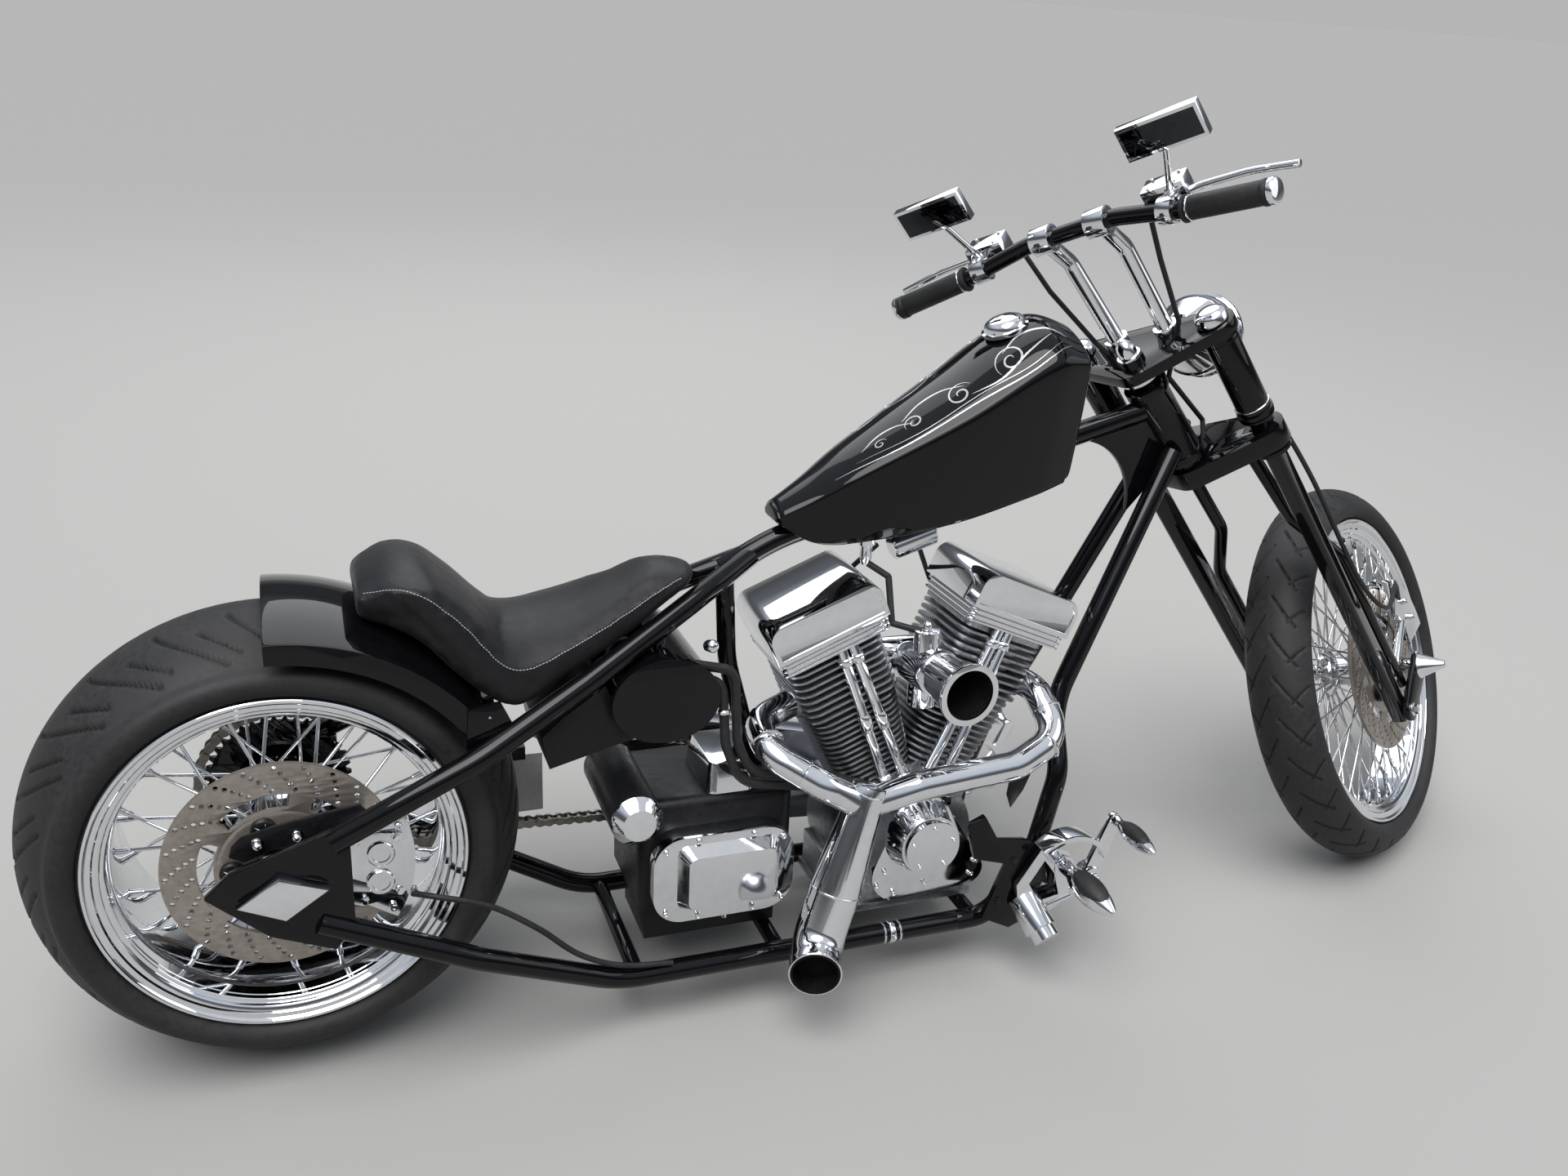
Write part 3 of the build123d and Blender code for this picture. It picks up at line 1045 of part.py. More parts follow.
# Steer, lean and stand the bike on the ground
lean_place = Location(Plane(origin=(0, 0, 0), x_dir=(1, 0, 0), z_dir=tuple(leaned(Vector(0, 0, 1)))))
fork_place = Location(fork_plane) * Location((0, 0, 0), (0, 0, steer_lock))
body_places = {
    "chassis": lean_place,
    "rear_wheel": lean_place,
    "side_stand": lean_place,
    "fork": lean_place * fork_place,
    "front_wheel": lean_place * fork_place,
}
placed = {}
for name, (body, solids) in nodes.items():
    placed[name] = [solid.moved(body_places[body]) for solid in solids]
boxes = [solid.bounding_box() for solids in placed.values() for solid in solids]
middle_x = (min(box.min.X for box in boxes) + max(box.max.X for box in boxes)) / 2
middle_y = (min(box.min.Y for box in boxes) + max(box.max.Y for box in boxes)) / 2
origin_shift = Vector(-middle_x, -middle_y, rear_lift)
shift_place = Location(tuple(origin_shift))

os.makedirs("parts", exist_ok=True)
for name, solids in placed.items():
    moved = [solid.moved(shift_place) for solid in solids]
    shape = moved[0] if len(moved) == 1 else Compound(children=moved)
    export_step(shape, os.path.join("parts", name + ".step"))
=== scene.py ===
import json
import math

import bmesh
import bpy
from mathutils import Matrix, Vector
from mathutils.bvhtree import BVHTree

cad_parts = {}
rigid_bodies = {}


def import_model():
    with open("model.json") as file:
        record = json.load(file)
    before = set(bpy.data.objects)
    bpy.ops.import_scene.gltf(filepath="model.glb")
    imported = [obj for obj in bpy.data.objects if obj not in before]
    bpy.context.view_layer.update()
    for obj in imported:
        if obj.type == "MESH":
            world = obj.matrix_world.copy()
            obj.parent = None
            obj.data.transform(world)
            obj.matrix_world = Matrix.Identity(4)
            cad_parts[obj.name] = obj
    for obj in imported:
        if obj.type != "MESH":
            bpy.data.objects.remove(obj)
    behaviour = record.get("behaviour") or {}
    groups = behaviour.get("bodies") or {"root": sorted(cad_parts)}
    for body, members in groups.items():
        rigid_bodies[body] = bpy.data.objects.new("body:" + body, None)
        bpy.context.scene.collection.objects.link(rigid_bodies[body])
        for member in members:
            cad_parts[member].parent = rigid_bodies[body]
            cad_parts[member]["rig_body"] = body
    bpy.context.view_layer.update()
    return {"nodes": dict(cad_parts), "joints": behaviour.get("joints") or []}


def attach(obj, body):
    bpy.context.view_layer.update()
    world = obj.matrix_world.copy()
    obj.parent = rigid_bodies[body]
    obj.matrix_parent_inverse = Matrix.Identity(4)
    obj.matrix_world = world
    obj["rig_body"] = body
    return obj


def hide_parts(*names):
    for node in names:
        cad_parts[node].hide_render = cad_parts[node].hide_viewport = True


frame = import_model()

mm = 0.001
print("frame loaded:", len(frame["nodes"]), "solids")

# places: the tables below are in millimetres, in one of these three frames
joints = {joint["name"]: joint for joint in frame["joints"]}
forkFacts = {
    "jointAlong": 660, "rake": 38.5,
    # ends of a leg: along the steering axis, ahead of it, beside it
    "low": (-85, 27, 108), "high": (781, 62, 113),
}


def basis(origin, xWay, yWay, zWay):
    turn = Matrix((xWay, yWay, zWay)).transposed().to_4x4()
    return Matrix.Translation(origin) @ turn @ Matrix.Scale(mm, 4)


rearAxle = Vector(joints["rear_wheel_spin"]["pos_m"])
leftWay = Vector(joints["rear_wheel_spin"]["axis"]).normalized()
frontWay = Vector((1, 0, 0))
# rear axle at zero, X forward, Y left, Z up
bike = basis(rearAxle, frontWay, leftWay, frontWay.cross(leftWay))

neckWay = Vector(joints["steering"]["axis"]).normalized()
neckFoot = Vector(joints["steering"]["pos_m"]) - neckWay * forkFacts["jointAlong"] * mm
frontAxle = Vector(joints["front_wheel_spin"]["pos_m"])
axleAlong = (frontAxle - neckFoot).dot(neckWay)
aheadWay = (frontAxle - neckFoot - neckWay * axleAlong).normalized()
# X ahead of the steering axis, Y beside it, Z along it
fork = basis(neckFoot, aheadWay, neckWay.cross(aheadWay), neckWay)
frontWheel = basis(frontAxle, aheadWay, neckWay.cross(aheadWay), neckWay)
bodyPlaces = {"chassis": bike, "fork": fork}
asIs = Matrix.Identity(4)


# node trees: nodes as name: (kind, values), links as "node.socket > node.socket"
def setValues(node, values):
    for key, value in values.items():
        if isinstance(key, int) or key in node.inputs.keys():
            node.inputs[key].default_value = value
        else:
            setattr(node, key, value)


def socketOf(sockets, key):
    return sockets[int(key) if key.isdigit() else key]


def grow(tree, made, nodes, links):
    for name, (kind, values) in nodes.items():
        node = tree.nodes.new(kind if "Node" in kind else "ShaderNode" + kind)
        node.location = (200 * len(tree.nodes) - 900, 0)
        setValues(node, values)
        made[name] = node
    for link in links.split(", "):
        (source, out), (target, into) = (end.split(".") for end in link.split(" > "))
        tree.links.new(socketOf(made[source].outputs, out), socketOf(made[target].inputs, into))
    return made


def newTree(name, kind, inputs, outputs, nodes, links):
    tree = bpy.data.node_groups.new(name, kind)
    for label, (socketKind, value) in inputs.items():
        socket = tree.interface.new_socket(label, in_out="INPUT", socket_type="NodeSocket" + socketKind)
        if value is not None:
            socket.default_value = value
    for label, socketKind in outputs.items():
        tree.interface.new_socket(label, in_out="OUTPUT", socket_type="NodeSocket" + socketKind)
    grow(tree, {}, {"given": ("NodeGroupInput", {}), **nodes, "result": ("NodeGroupOutput", {})}, links)
    return tree


edgeWear = newTree(
    "edgeWear", "ShaderNodeTree",
    {"Radius": ("Float", 0.002), "Contrast": ("Float", 4.0), "Breakup": ("Float", 60.0)}, {"Mask": "Float"}, {
        "rounded": ("Bevel", {"samples": 4}),
        "plain": ("NewGeometry", {}),
        "match": ("VectorMath", {"operation": "DOT_PRODUCT"}),
        "away": ("Math", {"operation": "SUBTRACT", 0: 1.0}),
        "stretch": ("Math", {"operation": "MULTIPLY", "use_clamp": True}),
        "coords": ("TexCoord", {}),
        "noise": ("TexNoise", {"Detail": 4.0}),
        "patch": ("MapRange", {"From Min": 0.42, "From Max": 0.62}),
        "both": ("Math", {"operation": "MULTIPLY", "use_clamp": True}),
    },
    "given.Radius > rounded.Radius, rounded.Normal > match.0, plain.Normal > match.1, match.Value > away.1, "
    "away.0 > stretch.0, given.Contrast > stretch.1, coords.Object > noise.Vector, given.Breakup > noise.Scale, "
    "noise.Fac > patch.Value, stretch.0 > both.0, patch.Result > both.1, both.0 > result.Mask")

smudges = newTree(
    "smudges", "ShaderNodeTree",
    {"Scale": ("Float", 12.0), "Smooth": ("Float", 0.1), "Rough": ("Float", 0.3), "Fine": ("Float", 8.0)},
    {"Roughness": "Float", "Mask": "Float"}, {
        "coords": ("TexCoord", {}),
        "broad": ("TexNoise", {"Detail": 3.0}),
        "finer": ("Math", {"operation": "MULTIPLY"}),
        "small": ("TexNoise", {"Detail": 2.0}),
        "mixed": ("Math", {"operation": "MULTIPLY"}),
        "spread": ("MapRange", {"From Min": 0.12, "From Max": 0.42}),
        "rough": ("MapRange", {}),
    },
    "coords.Object > broad.Vector, given.Scale > broad.Scale, given.Scale > finer.0, given.Fine > finer.1, "
    "coords.Object > small.Vector, finer.0 > small.Scale, broad.Fac > mixed.0, small.Fac > mixed.1, "
    "mixed.0 > spread.Value, spread.Result > rough.Value, given.Smooth > rough.To Min, given.Rough > rough.To Max, "
    "rough.Result > result.Roughness, spread.Result > result.Mask")

grain = newTree(
    "grain", "ShaderNodeTree", {"Scale": ("Float", 400.0), "Pebble": ("Float", 0.5)}, {"Height": "Float"}, {
        "coords": ("TexCoord", {}),
        "noise": ("TexNoise", {"Detail": 6.0}),
        "cells": ("TexVoronoi", {"feature": "SMOOTH_F1"}),
        "blend": ("Mix", {}),
    },
    "coords.Object > noise.Vector, coords.Object > cells.Vector, given.Scale > noise.Scale, "
    "given.Scale > cells.Scale, given.Pebble > blend.Factor, noise.Fac > blend.A, cells.Distance > blend.B, "
    "blend.Result > result.Height")
print("shader groups built")

# finishes
finishTable = {
    # name: slot, specular, base colour, second colour,
    #       metallic, smooth, rough, smudge size, grain size, pebble, bump, wear, coat
    "glossBlack": ("gloss_black", 0.30, (0.0022, 0.0022, 0.0030), (0.0035, 0.0035, 0.0042),
                   0.0, 0.015, 0.06, 9, 300, 0.0, 0.0, 0.12, 0.0),
    "satinBlack": ("satin_black", 0.25, (0.005, 0.005, 0.006), (0.010, 0.010, 0.011),
                   0.0, 0.28, 0.45, 14, 900, 0.3, 0.08, 0.25, 0.0),
    "chrome": ("chrome", 0.5, (0.82, 0.83, 0.85), (0.76, 0.77, 0.79),
               1.0, 0.02, 0.07, 10, 500, 0.0, 0.0, 0.0, 0.0),
    "polishedMetal": ("polished_aluminium", 0.5, (0.76, 0.77, 0.79), (0.69, 0.70, 0.72),
                      1.0, 0.06, 0.14, 10, 700, 0.0, 0.008, 0.05, 0.0),
    "castMetal": ("cast_aluminium", 0.5, (0.42, 0.43, 0.45), (0.28, 0.28, 0.29),
                  1.0, 0.28, 0.50, 18, 1200, 0.4, 0.16, 0.25, 0.0),
    "discSteel": ("disc_steel", 0.5, (0.36, 0.325, 0.29), (0.27, 0.235, 0.205),
                  0.7, 0.26, 0.40, 14, 600, 0.0, 0.02, 0.10, 0.0),
    "chainSteel": ("chain_steel", 0.5, (0.20, 0.185, 0.165), (0.34, 0.315, 0.28),
                   1.0, 0.28, 0.50, 60, 900, 0.3, 0.08, 0.25, 0.0),
    "blackInside": ("satin_black", 0.1, (0.003, 0.003, 0.003), (0.010, 0.009, 0.008),
                    0.0, 0.55, 0.85, 30, 700, 0.3, 0.15, 0.0, 0.0),
    "softRubber": ("rubber", 0.35, (0.010, 0.010, 0.010), (0.020, 0.020, 0.021),
                   0.0, 0.45, 0.65, 20, 1500, 0.6, 0.15, 0.0, 0.0),
    "threadGrey": ("leather", 0.5, (0.42, 0.43, 0.44), (0.30, 0.31, 0.32),
                   0.0, 0.50, 0.75, 200, 2500, 0.3, 0.3, 0.0, 0.0),
    "pinstripeSilver": ("chrome", 0.5, (0.50, 0.51, 0.53), (0.36, 0.37, 0.39),
                        0.6, 0.20, 0.35, 40, 600, 0.0, 0.02, 0.0, 1.0),
    "plateWhite": ("plate_paint", 0.5, (0.72, 0.72, 0.70), (0.60, 0.60, 0.58),
                   0.0, 0.30, 0.50, 20, 800, 0.2, 0.05, 0.2, 0.0),
    "lampRed": ("plate_paint", 0.5, (0.35, 0.01, 0.01), (0.22, 0.005, 0.005),
                0.0, 0.08, 0.20, 30, 500, 0.0, 0.02, 0.0, 1.0),
    "mirrorGlass": ("chrome", 0.5, (0.045, 0.047, 0.052), (0.035, 0.037, 0.040),
                    1.0, 0.01, 0.04, 12, 500, 0.0, 0.0, 0.0, 0.0),
    "leather": ("leather", 0.22, (0.007, 0.007, 0.008), (0.013, 0.013, 0.014),
                0.0, 0.36, 0.52, 7, 520, 0.75, 0.22, 0.0, 0.0),
    "tyreRubber": ("tyre", 0.3, (0.013, 0.013, 0.014), (0.024, 0.0235, 0.0235),
                   0.0, 0.50, 0.70, 16, 1400, 0.5, 0.16, 0.0, 0.0),
}
wornColours = {"glossBlack": (0.05, 0.05, 0.055), "satinBlack": (0.10, 0.10, 0.11), "plateWhite": (0.4, 0.4, 0.4)}
brightWear = (0.78, 0.79, 0.80)
surfaceFacts = {"wearRadius": 0.0015, "bumpHeight": 0.0006, "coatRough": 0.03}
slotOf = {name: row[0] for name, row in finishTable.items()}
slotOf["lampGlass"] = "chrome"


def newMaterial(name, values):
    material = bpy.data.materials.new(name)
    material.use_nodes = True
    shader = material.node_tree.nodes["Principled BSDF"]
    setValues(shader, values)
    return material, material.node_tree, {"shader": shader}


def makeFinish(name, row):
    specular, base, second, metallic, smooth, rough, size, grainSize, pebble, bump, wear, coat = row[1:]
    material, tree, made = newMaterial(name, {
        "Metallic": metallic, "Coat Weight": coat, "Coat Roughness": surfaceFacts["coatRough"],
        "Specular IOR Level": specular})
    grow(tree, made, {
        "film": ("Group", {"node_tree": smudges, "Scale": size, "Smooth": smooth, "Rough": rough}),
        "colour": ("Mix", {"data_type": "RGBA", "A": (*base, 1), "B": (*second, 1)}),
    }, "film.Mask > colour.Factor, film.Roughness > shader.Roughness, colour.Result > shader.Base Color")
    if wear:
        grow(tree, made, {
            "edges": ("Group", {"node_tree": edgeWear, "Radius": surfaceFacts["wearRadius"]}),
            "amount": ("Math", {"operation": "MULTIPLY", 1: wear}),
            "worn": ("Mix", {"data_type": "RGBA", "B": (*wornColours.get(name, brightWear), 1)}),
        }, "edges.Mask > amount.0, amount.0 > worn.Factor, colour.Result > worn.A, worn.Result > shader.Base Color")
    if bump:
        grow(tree, made, {
            "texture": ("Group", {"node_tree": grain, "Scale": grainSize, "Pebble": pebble}),
            "relief": ("Bump", {"Strength": min(1.0, bump * 2), "Distance": surfaceFacts["bumpHeight"]}),
        }, "texture.Height > relief.Height, relief.Normal > shader.Normal")
    return material


def addFolds(material):
    tree = material.node_tree
    made = {"shader": tree.nodes["Principled BSDF"], "fine": tree.nodes["Bump"]}
    setValues(made["shader"], {"Sheen Weight": 0.03, "Sheen Roughness": 0.45})
    grow(tree, made, {
        "coords": ("TexCoord", {}),
        "folds": ("TexNoise", {"Scale": 22.0, "Detail": 5.0, "Distortion": 0.8}),
        "wrinkle": ("Bump", {"Strength": 0.18, "Distance": 0.003}),
    }, "coords.Object > folds.Vector, folds.Fac > wrinkle.Height, fine.Normal > wrinkle.Normal, "
       "wrinkle.Normal > shader.Normal")


# Painted shade: the tyre's colour is darkened to near-black inside the grooves, by the groove depth kept on its
# points.
def addPaintedGrooveShade(material):
    tree = material.node_tree
    made = {"shader": tree.nodes["Principled BSDF"], "colour": tree.nodes["Mix"]}
    grow(tree, made, {
        "groove": ("Attribute", {"attribute_name": "grooveDepth"}),
        "dark": ("Mix", {"data_type": "RGBA", "B": (0.004, 0.004, 0.004, 1)}),
    }, "groove.Fac > dark.Factor, colour.Result > dark.A, dark.Result > shader.Base Color")


def lensFinish():
    material, tree, made = newMaterial("lampGlass", {
        "Base Color": (0.95, 0.96, 0.97, 1), "Transmission Weight": 1.0, "IOR": 1.45})
    grow(tree, made, {"film": ("Group", {"node_tree": smudges, "Smooth": 0.0, "Rough": 0.06})},
         "film.Roughness > shader.Roughness")
    return material


finishes = {name: makeFinish(name, row) for name, row in finishTable.items()}
addFolds(finishes["leather"])
addPaintedGrooveShade(finishes["tyreRubber"])
finishes["lampGlass"] = lensFinish()
print("finishes built:", len(finishes))


# mesh helpers
def linked(name, data):
    holder = bpy.data.objects.new(name, data)
    bpy.context.scene.collection.objects.link(holder)
    return holder


def flattened(holder):
    bpy.context.view_layer.update()
    mesh = bpy.data.meshes.new_from_object(holder.evaluated_get(bpy.context.evaluated_depsgraph_get()))
    bpy.data.objects.remove(holder)
    return mesh


def placed(name, mesh, matrix, finish, body, stands=(), sharp=35.0):
    mesh.transform(matrix)
    piece = linked(name, mesh)
    mesh.materials.clear()
    mesh.materials.append(finishes[finish])
    mesh.polygons.foreach_set("material_index", [0] * len(mesh.polygons))
    mesh.polygons.foreach_set("use_smooth", [True] * len(mesh.polygons))
    mesh.set_sharp_from_angle(angle=math.radians(sharp))
    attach(piece, body)
    if stands:
        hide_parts(*stands)
    return piece


def cleaned(mesh, weld=1e-4):
    build = bmesh.new()
    build.from_mesh(mesh)
    if weld:
        bmesh.ops.remove_doubles(build, verts=build.verts, dist=weld)
    bmesh.ops.recalc_face_normals(build, faces=build.faces)
    build.to_mesh(mesh)
    build.free()
    return mesh


def meshFrom(points, faces):
    mesh = bpy.data.meshes.new("work")
    mesh.from_pydata([tuple(point) for point in points], [], faces)
    return mesh


def skinned(rings, looped=False, weld=1e-4):
    count = len(rings[0])
    points = [point for ring in rings for point in ring]
    faces = []
    for index in range(len(rings) if looped else len(rings) - 1):
        here, there = index * count, (index + 1) % len(rings) * count
        for step in range(count):
            following = (step + 1) % count
            faces.append((here + step, here + following, there + following, there + step))
    if not looped:
        faces += [tuple(range(count)), tuple(range(len(points) - count, len(points)))]
    return cleaned(meshFrom(points, faces), weld)


def joined(meshes):
    build = bmesh.new()
    for mesh in meshes:
        build.from_mesh(mesh)
    result = bpy.data.meshes.new("work")
    build.to_mesh(result)
    build.free()
    return result


def turnsOf(count):
    return [2 * math.pi * step / count for step in range(count)]


def mirrored(rows):
    return rows + [(first, -second) for first, second in reversed(rows)]


def circlePoints(x, y, radius, count, start=0.0):
    start = math.radians(start)
    return [(x + radius * math.cos(start + turn), y + radius * math.sin(start + turn)) for turn in turnsOf(count)]


def latheMesh(profile, segments):
    rings = [[(radius * math.cos(turn), side, radius * math.sin(turn)) for radius, side in profile]
             for turn in turnsOf(segments)]
    return skinned(rings, looped=True)


def arcPoints(first, middle, last, steps):
    (ax, ay), (bx, by), (cx, cy) = first, middle, last
    area = 2 * (ax * (by - cy) + bx * (cy - ay) + cx * (ay - by))
    aa, bb, cc = ax ** 2 + ay ** 2, bx ** 2 + by ** 2, cx ** 2 + cy ** 2
    ux = (aa * (by - cy) + bb * (cy - ay) + cc * (ay - by)) / area
    uy = (aa * (cx - bx) + bb * (ax - cx) + cc * (bx - ax)) / area
    radius = math.hypot(ax - ux, ay - uy)
    start = math.atan2(ay - uy, ax - ux)
    mid = (math.atan2(by - uy, bx - ux) - start) % (2 * math.pi)
    end = (math.atan2(cy - uy, cx - ux) - start) % (2 * math.pi)
    if mid > end:
        end -= 2 * math.pi
    turns = [start + end * step / steps for step in range(steps + 1)]
    return [(ux + radius * math.cos(turn), uy + radius * math.sin(turn)) for turn in turns]


def roundedPath(points, bends, steps=8):
    points = [Vector(point) for point in points]
    path = [points[0]]
    for index, bend in zip(range(1, len(points) - 1), bends):
        corner = points[index]
        before, after = points[index - 1] - corner, points[index + 1] - corner
        half = before.angle(after) / 2
        # a bend takes no more than half of a leg it shares with another bend
        reach = min(bend / math.tan(half), before.length * (0.49 if index > 1 else 0.95),
                    after.length * (0.49 if index < len(points) - 2 else 0.95))
        middle = (before.normalized() + after.normalized()).normalized()
        centre = corner + middle * (reach * math.tan(half) / math.sin(half))
        start, end = (corner + way.normalized() * reach - centre for way in (before, after))
        path += [centre + start.slerp(end, step / steps) for step in range(steps + 1)]
    return path + [points[-1]]


def sweptMesh(path, radius, sides):
    last = len(path) - 1
    ways = [(path[min(index + 1, last)] - path[max(index - 1, 0)]).normalized() for index in range(last + 1)]
    side = ways[0].orthogonal().normalized()
    rings = []
    for spot, way in zip(path, ways):
        side = (side - way * side.dot(way)).normalized()
        up = way.cross(side)
        rings.append([spot + (side * math.cos(turn) + up * math.sin(turn)) * radius for turn in turnsOf(sides)])
    return skinned(rings)


def tubeMesh(points, radius, bends, sides):
    return sweptMesh(roundedPath(points, bends), radius, sides)


def hoseMesh(points, radius, sides, steps=8):
    spots = [Vector(point) for point in points]
    spots = [2 * spots[0] - spots[1]] + spots + [2 * spots[-1] - spots[-2]]
    path = []
    for index in range(1, len(spots) - 2):
        before, first, second, after = spots[index - 1:index + 3]
        for step in range(steps + (index == len(spots) - 3)):
            share = step / steps
            path.append(0.5 * (2 * first + (second - before) * share
                               + (2 * before - 5 * first + 4 * second - after) * share ** 2
                               + (3 * first - before - 3 * second + after) * share ** 3))
    return sweptMesh(path, radius, sides)


def outWays(way, count):
    side = way.orthogonal().normalized()
    up = way.cross(side)
    return [side * math.cos(turn) + up * math.sin(turn) for turn in turnsOf(count)]


def turnedMesh(start, end, profile, segments=40):
    start, end = Vector(start), Vector(end)
    length, way = (end - start).length, (end - start).normalized()
    outs = outWays(way, segments)
    return skinned([[start + way * (share * length) + out * max(radius, 1e-4) for out in outs]
                    for share, radius in profile])


def lipMesh(place, way, inner, outer, length, segments=56):
    place, way = Vector(place), Vector(way).normalized()
    rows = [(0, inner), (0, outer - 0.6), (0.2, outer), (0.8, outer), (1, outer - 0.6), (1, inner)]
    return skinned([[place + way * ((share - 0.5) * length) + out * radius for share, radius in rows]
                    for out in outWays(way, segments)], looped=True)


def polyCurve(outlines, dimensions, closed):
    curve = bpy.data.curves.new("outline", "CURVE")
    curve.dimensions = dimensions
    for outline in outlines:
        spline = curve.splines.new("POLY")
        spline.points.add(len(outline) - 1)
        for point, place in zip(spline.points, outline):
            point.co = (*Vector(place).to_3d(), 1)
        spline.use_cyclic_u = closed
    return curve


def plateMesh(outlines, thickness, matrix, edge):
    curve = polyCurve(outlines, "2D", True)
    curve.fill_mode = "BOTH"
    curve.extrude = thickness / 2 - edge
    curve.bevel_depth = edge
    curve.offset = -edge
    curve.bevel_resolution = 1
    mesh = cleaned(flattened(linked("outline", curve)))
    mesh.transform(matrix)
    return mesh


def modified(mesh, kind, **values):
    holder = linked("work", mesh)
    modifier = holder.modifiers.new(kind, kind)
    for key, value in values.items():
        setattr(modifier, key, value)
    return flattened(holder)


# repeating trees
repeatPieces = newTree(
    "repeatPieces", "GeometryNodeTree",
    {"Geometry": ("Geometry", None), "Count": ("Int", None), "Turn": ("Float", None), "Finish": ("Material", None)},
    {"Geometry": "Geometry"}, {
        "index": ("GeometryNodeInputIndex", {}),
        "turned": ("Math", {"operation": "MULTIPLY"}),
        "spin": ("CombineXYZ", {}),
        "points": ("GeometryNodePoints", {}),
        "copies": ("GeometryNodeInstanceOnPoints", {}),
        "solid": ("GeometryNodeRealizeInstances", {}),
        "coat": ("GeometryNodeSetMaterial", {}),
    },
    "index.0 > turned.0, given.Turn > turned.1, turned.0 > spin.Z, given.Count > points.Count, "
    "points.0 > copies.Points, given.Geometry > copies.Instance, spin.0 > copies.Rotation, copies.0 > solid.0, "
    "solid.0 > coat.Geometry, given.Finish > coat.Material, coat.0 > result.0")

piecesAlongPath = newTree(
    "piecesAlongPath", "GeometryNodeTree",
    {"Geometry": ("Geometry", None), "Item": ("Object", None), "Pitch": ("Float", None), "Finish": ("Material", None)},
    {"Geometry": "Geometry"}, {
        "spots": ("GeometryNodeCurveToPoints", {"mode": "LENGTH"}),
        "item": ("GeometryNodeObjectInfo", {}),
        "copies": ("GeometryNodeInstanceOnPoints", {}),
        "solid": ("GeometryNodeRealizeInstances", {}),
        "coat": ("GeometryNodeSetMaterial", {}),
    },
    "given.Geometry > spots.Curve, given.Pitch > spots.Length, given.Item > item.Object, "
    "spots.Points > copies.Points, spots.Rotation > copies.Rotation, item.Geometry > copies.Instance, "
    "copies.0 > solid.0, solid.0 > coat.Geometry, given.Finish > coat.Material, coat.0 > result.0")


def grown(holder, tree, values):
    modifier = holder.modifiers.new("pieces", "NODES")
    modifier.node_group = tree
    for item in tree.interface.items_tree:
        if item.item_type == "SOCKET" and item.in_out == "INPUT" and item.name in values:
            modifier[item.identifier] = values[item.name]
    return flattened(holder)


def alongMesh(item, path, pitch, finish):
    source = linked("item", item)
    holder = linked("path", polyCurve([path], "3D", False))
    mesh = grown(holder, piecesAlongPath, {"Item": source, "Pitch": pitch, "Finish": finishes[finish]})
    bpy.data.objects.remove(source)
    return mesh


axleTurn = Matrix.Rotation(math.radians(-90), 4, "X")  # the tree's Z onto the wheel's Y


def aroundAxle(item, count, finish):
    item.transform(axleTurn.inverted())
    mesh = grown(linked("work", item), repeatPieces,
                 {"Count": count, "Turn": 2 * math.pi / count, "Finish": finishes[finish]})
    mesh.transform(axleTurn)
    return mesh


# carried-over solids
dressTable = {
    # solid: finish, edge rounding
    "frame_spine": ("glossBlack", 0.8), "frame_upper_stays": ("glossBlack", 0.8),
    "frame_downtubes": ("glossBlack", 0.8), "frame_lower_rails": ("glossBlack", 0.8),
    "rear_axle_and_plates": ("glossBlack", 1.2), "frame_cross_tubes": ("glossBlack", 0.6),
    "rear_fender": ("glossBlack", 0.8), "oil_tank": ("glossBlack", 5.0), "battery_box": ("satinBlack", 3.0),
    "crankcase": ("castMetal", 3.0), "cylinders": ("castMetal", 0.6), "cylinder_heads": ("castMetal", 2.0),
    "rocker_boxes": ("chrome", 2.0), "intake_and_horn": ("chrome", 1.5), "pushrod_tubes": ("chrome", 0.8),
    "exhaust": ("chrome", 0.5), "engine_covers": ("polishedMetal", 3.0), "gearbox": ("satinBlack", 3.0),
    "starter": ("satinBlack", 3.0), "primary_cover": ("polishedMetal", 6.0), "oil_hoses": ("softRubber", 0.5),
    "forward_controls": ("chrome", 1.5), "rear_caliper": ("polishedMetal", 2.0),
    "plate_and_lamp": ("plateWhite", 0.6), "fork_trees": ("glossBlack", 2.0), "fork_legs": ("glossBlack", 2.0),
    "front_axle_and_rockers": ("chrome", 1.5), "front_caliper": ("chrome", 2.0), "handlebar": ("glossBlack", 0.8),
    "handlebar_risers": ("chrome", 1.0), "grips": ("softRubber", 1.0), "hand_controls": ("chrome", 1.5),
    "mirrors": ("chrome", 2.0), "headlight": ("chrome", 2.0), "side_stand": ("glossBlack", 0.8),
    "rear_sprocket": ("glossBlack", 0.6),
}
dressAreas = {
    # solid: finish, place, low corner, high corner of the faces that take it
    "starter": [("chrome", bike, (400, -140, -60), (540, -117.5, 60))],
    "plate_and_lamp": [("satinBlack", bike, (180, 100, -200), (420, 202, 0)),
                       ("satinBlack", bike, (230, 180, -44), (380, 230, 0))],
    "gearbox": [("castMetal", bike, (400, 92.5, -400), (800, 200, 200))],
    "front_axle_and_rockers": [("glossBlack", fork, (-100, -132, -140), (200, -100, 0)),
                               ("glossBlack", fork, (-100, 100, -140), (200, 132, 0))],
}


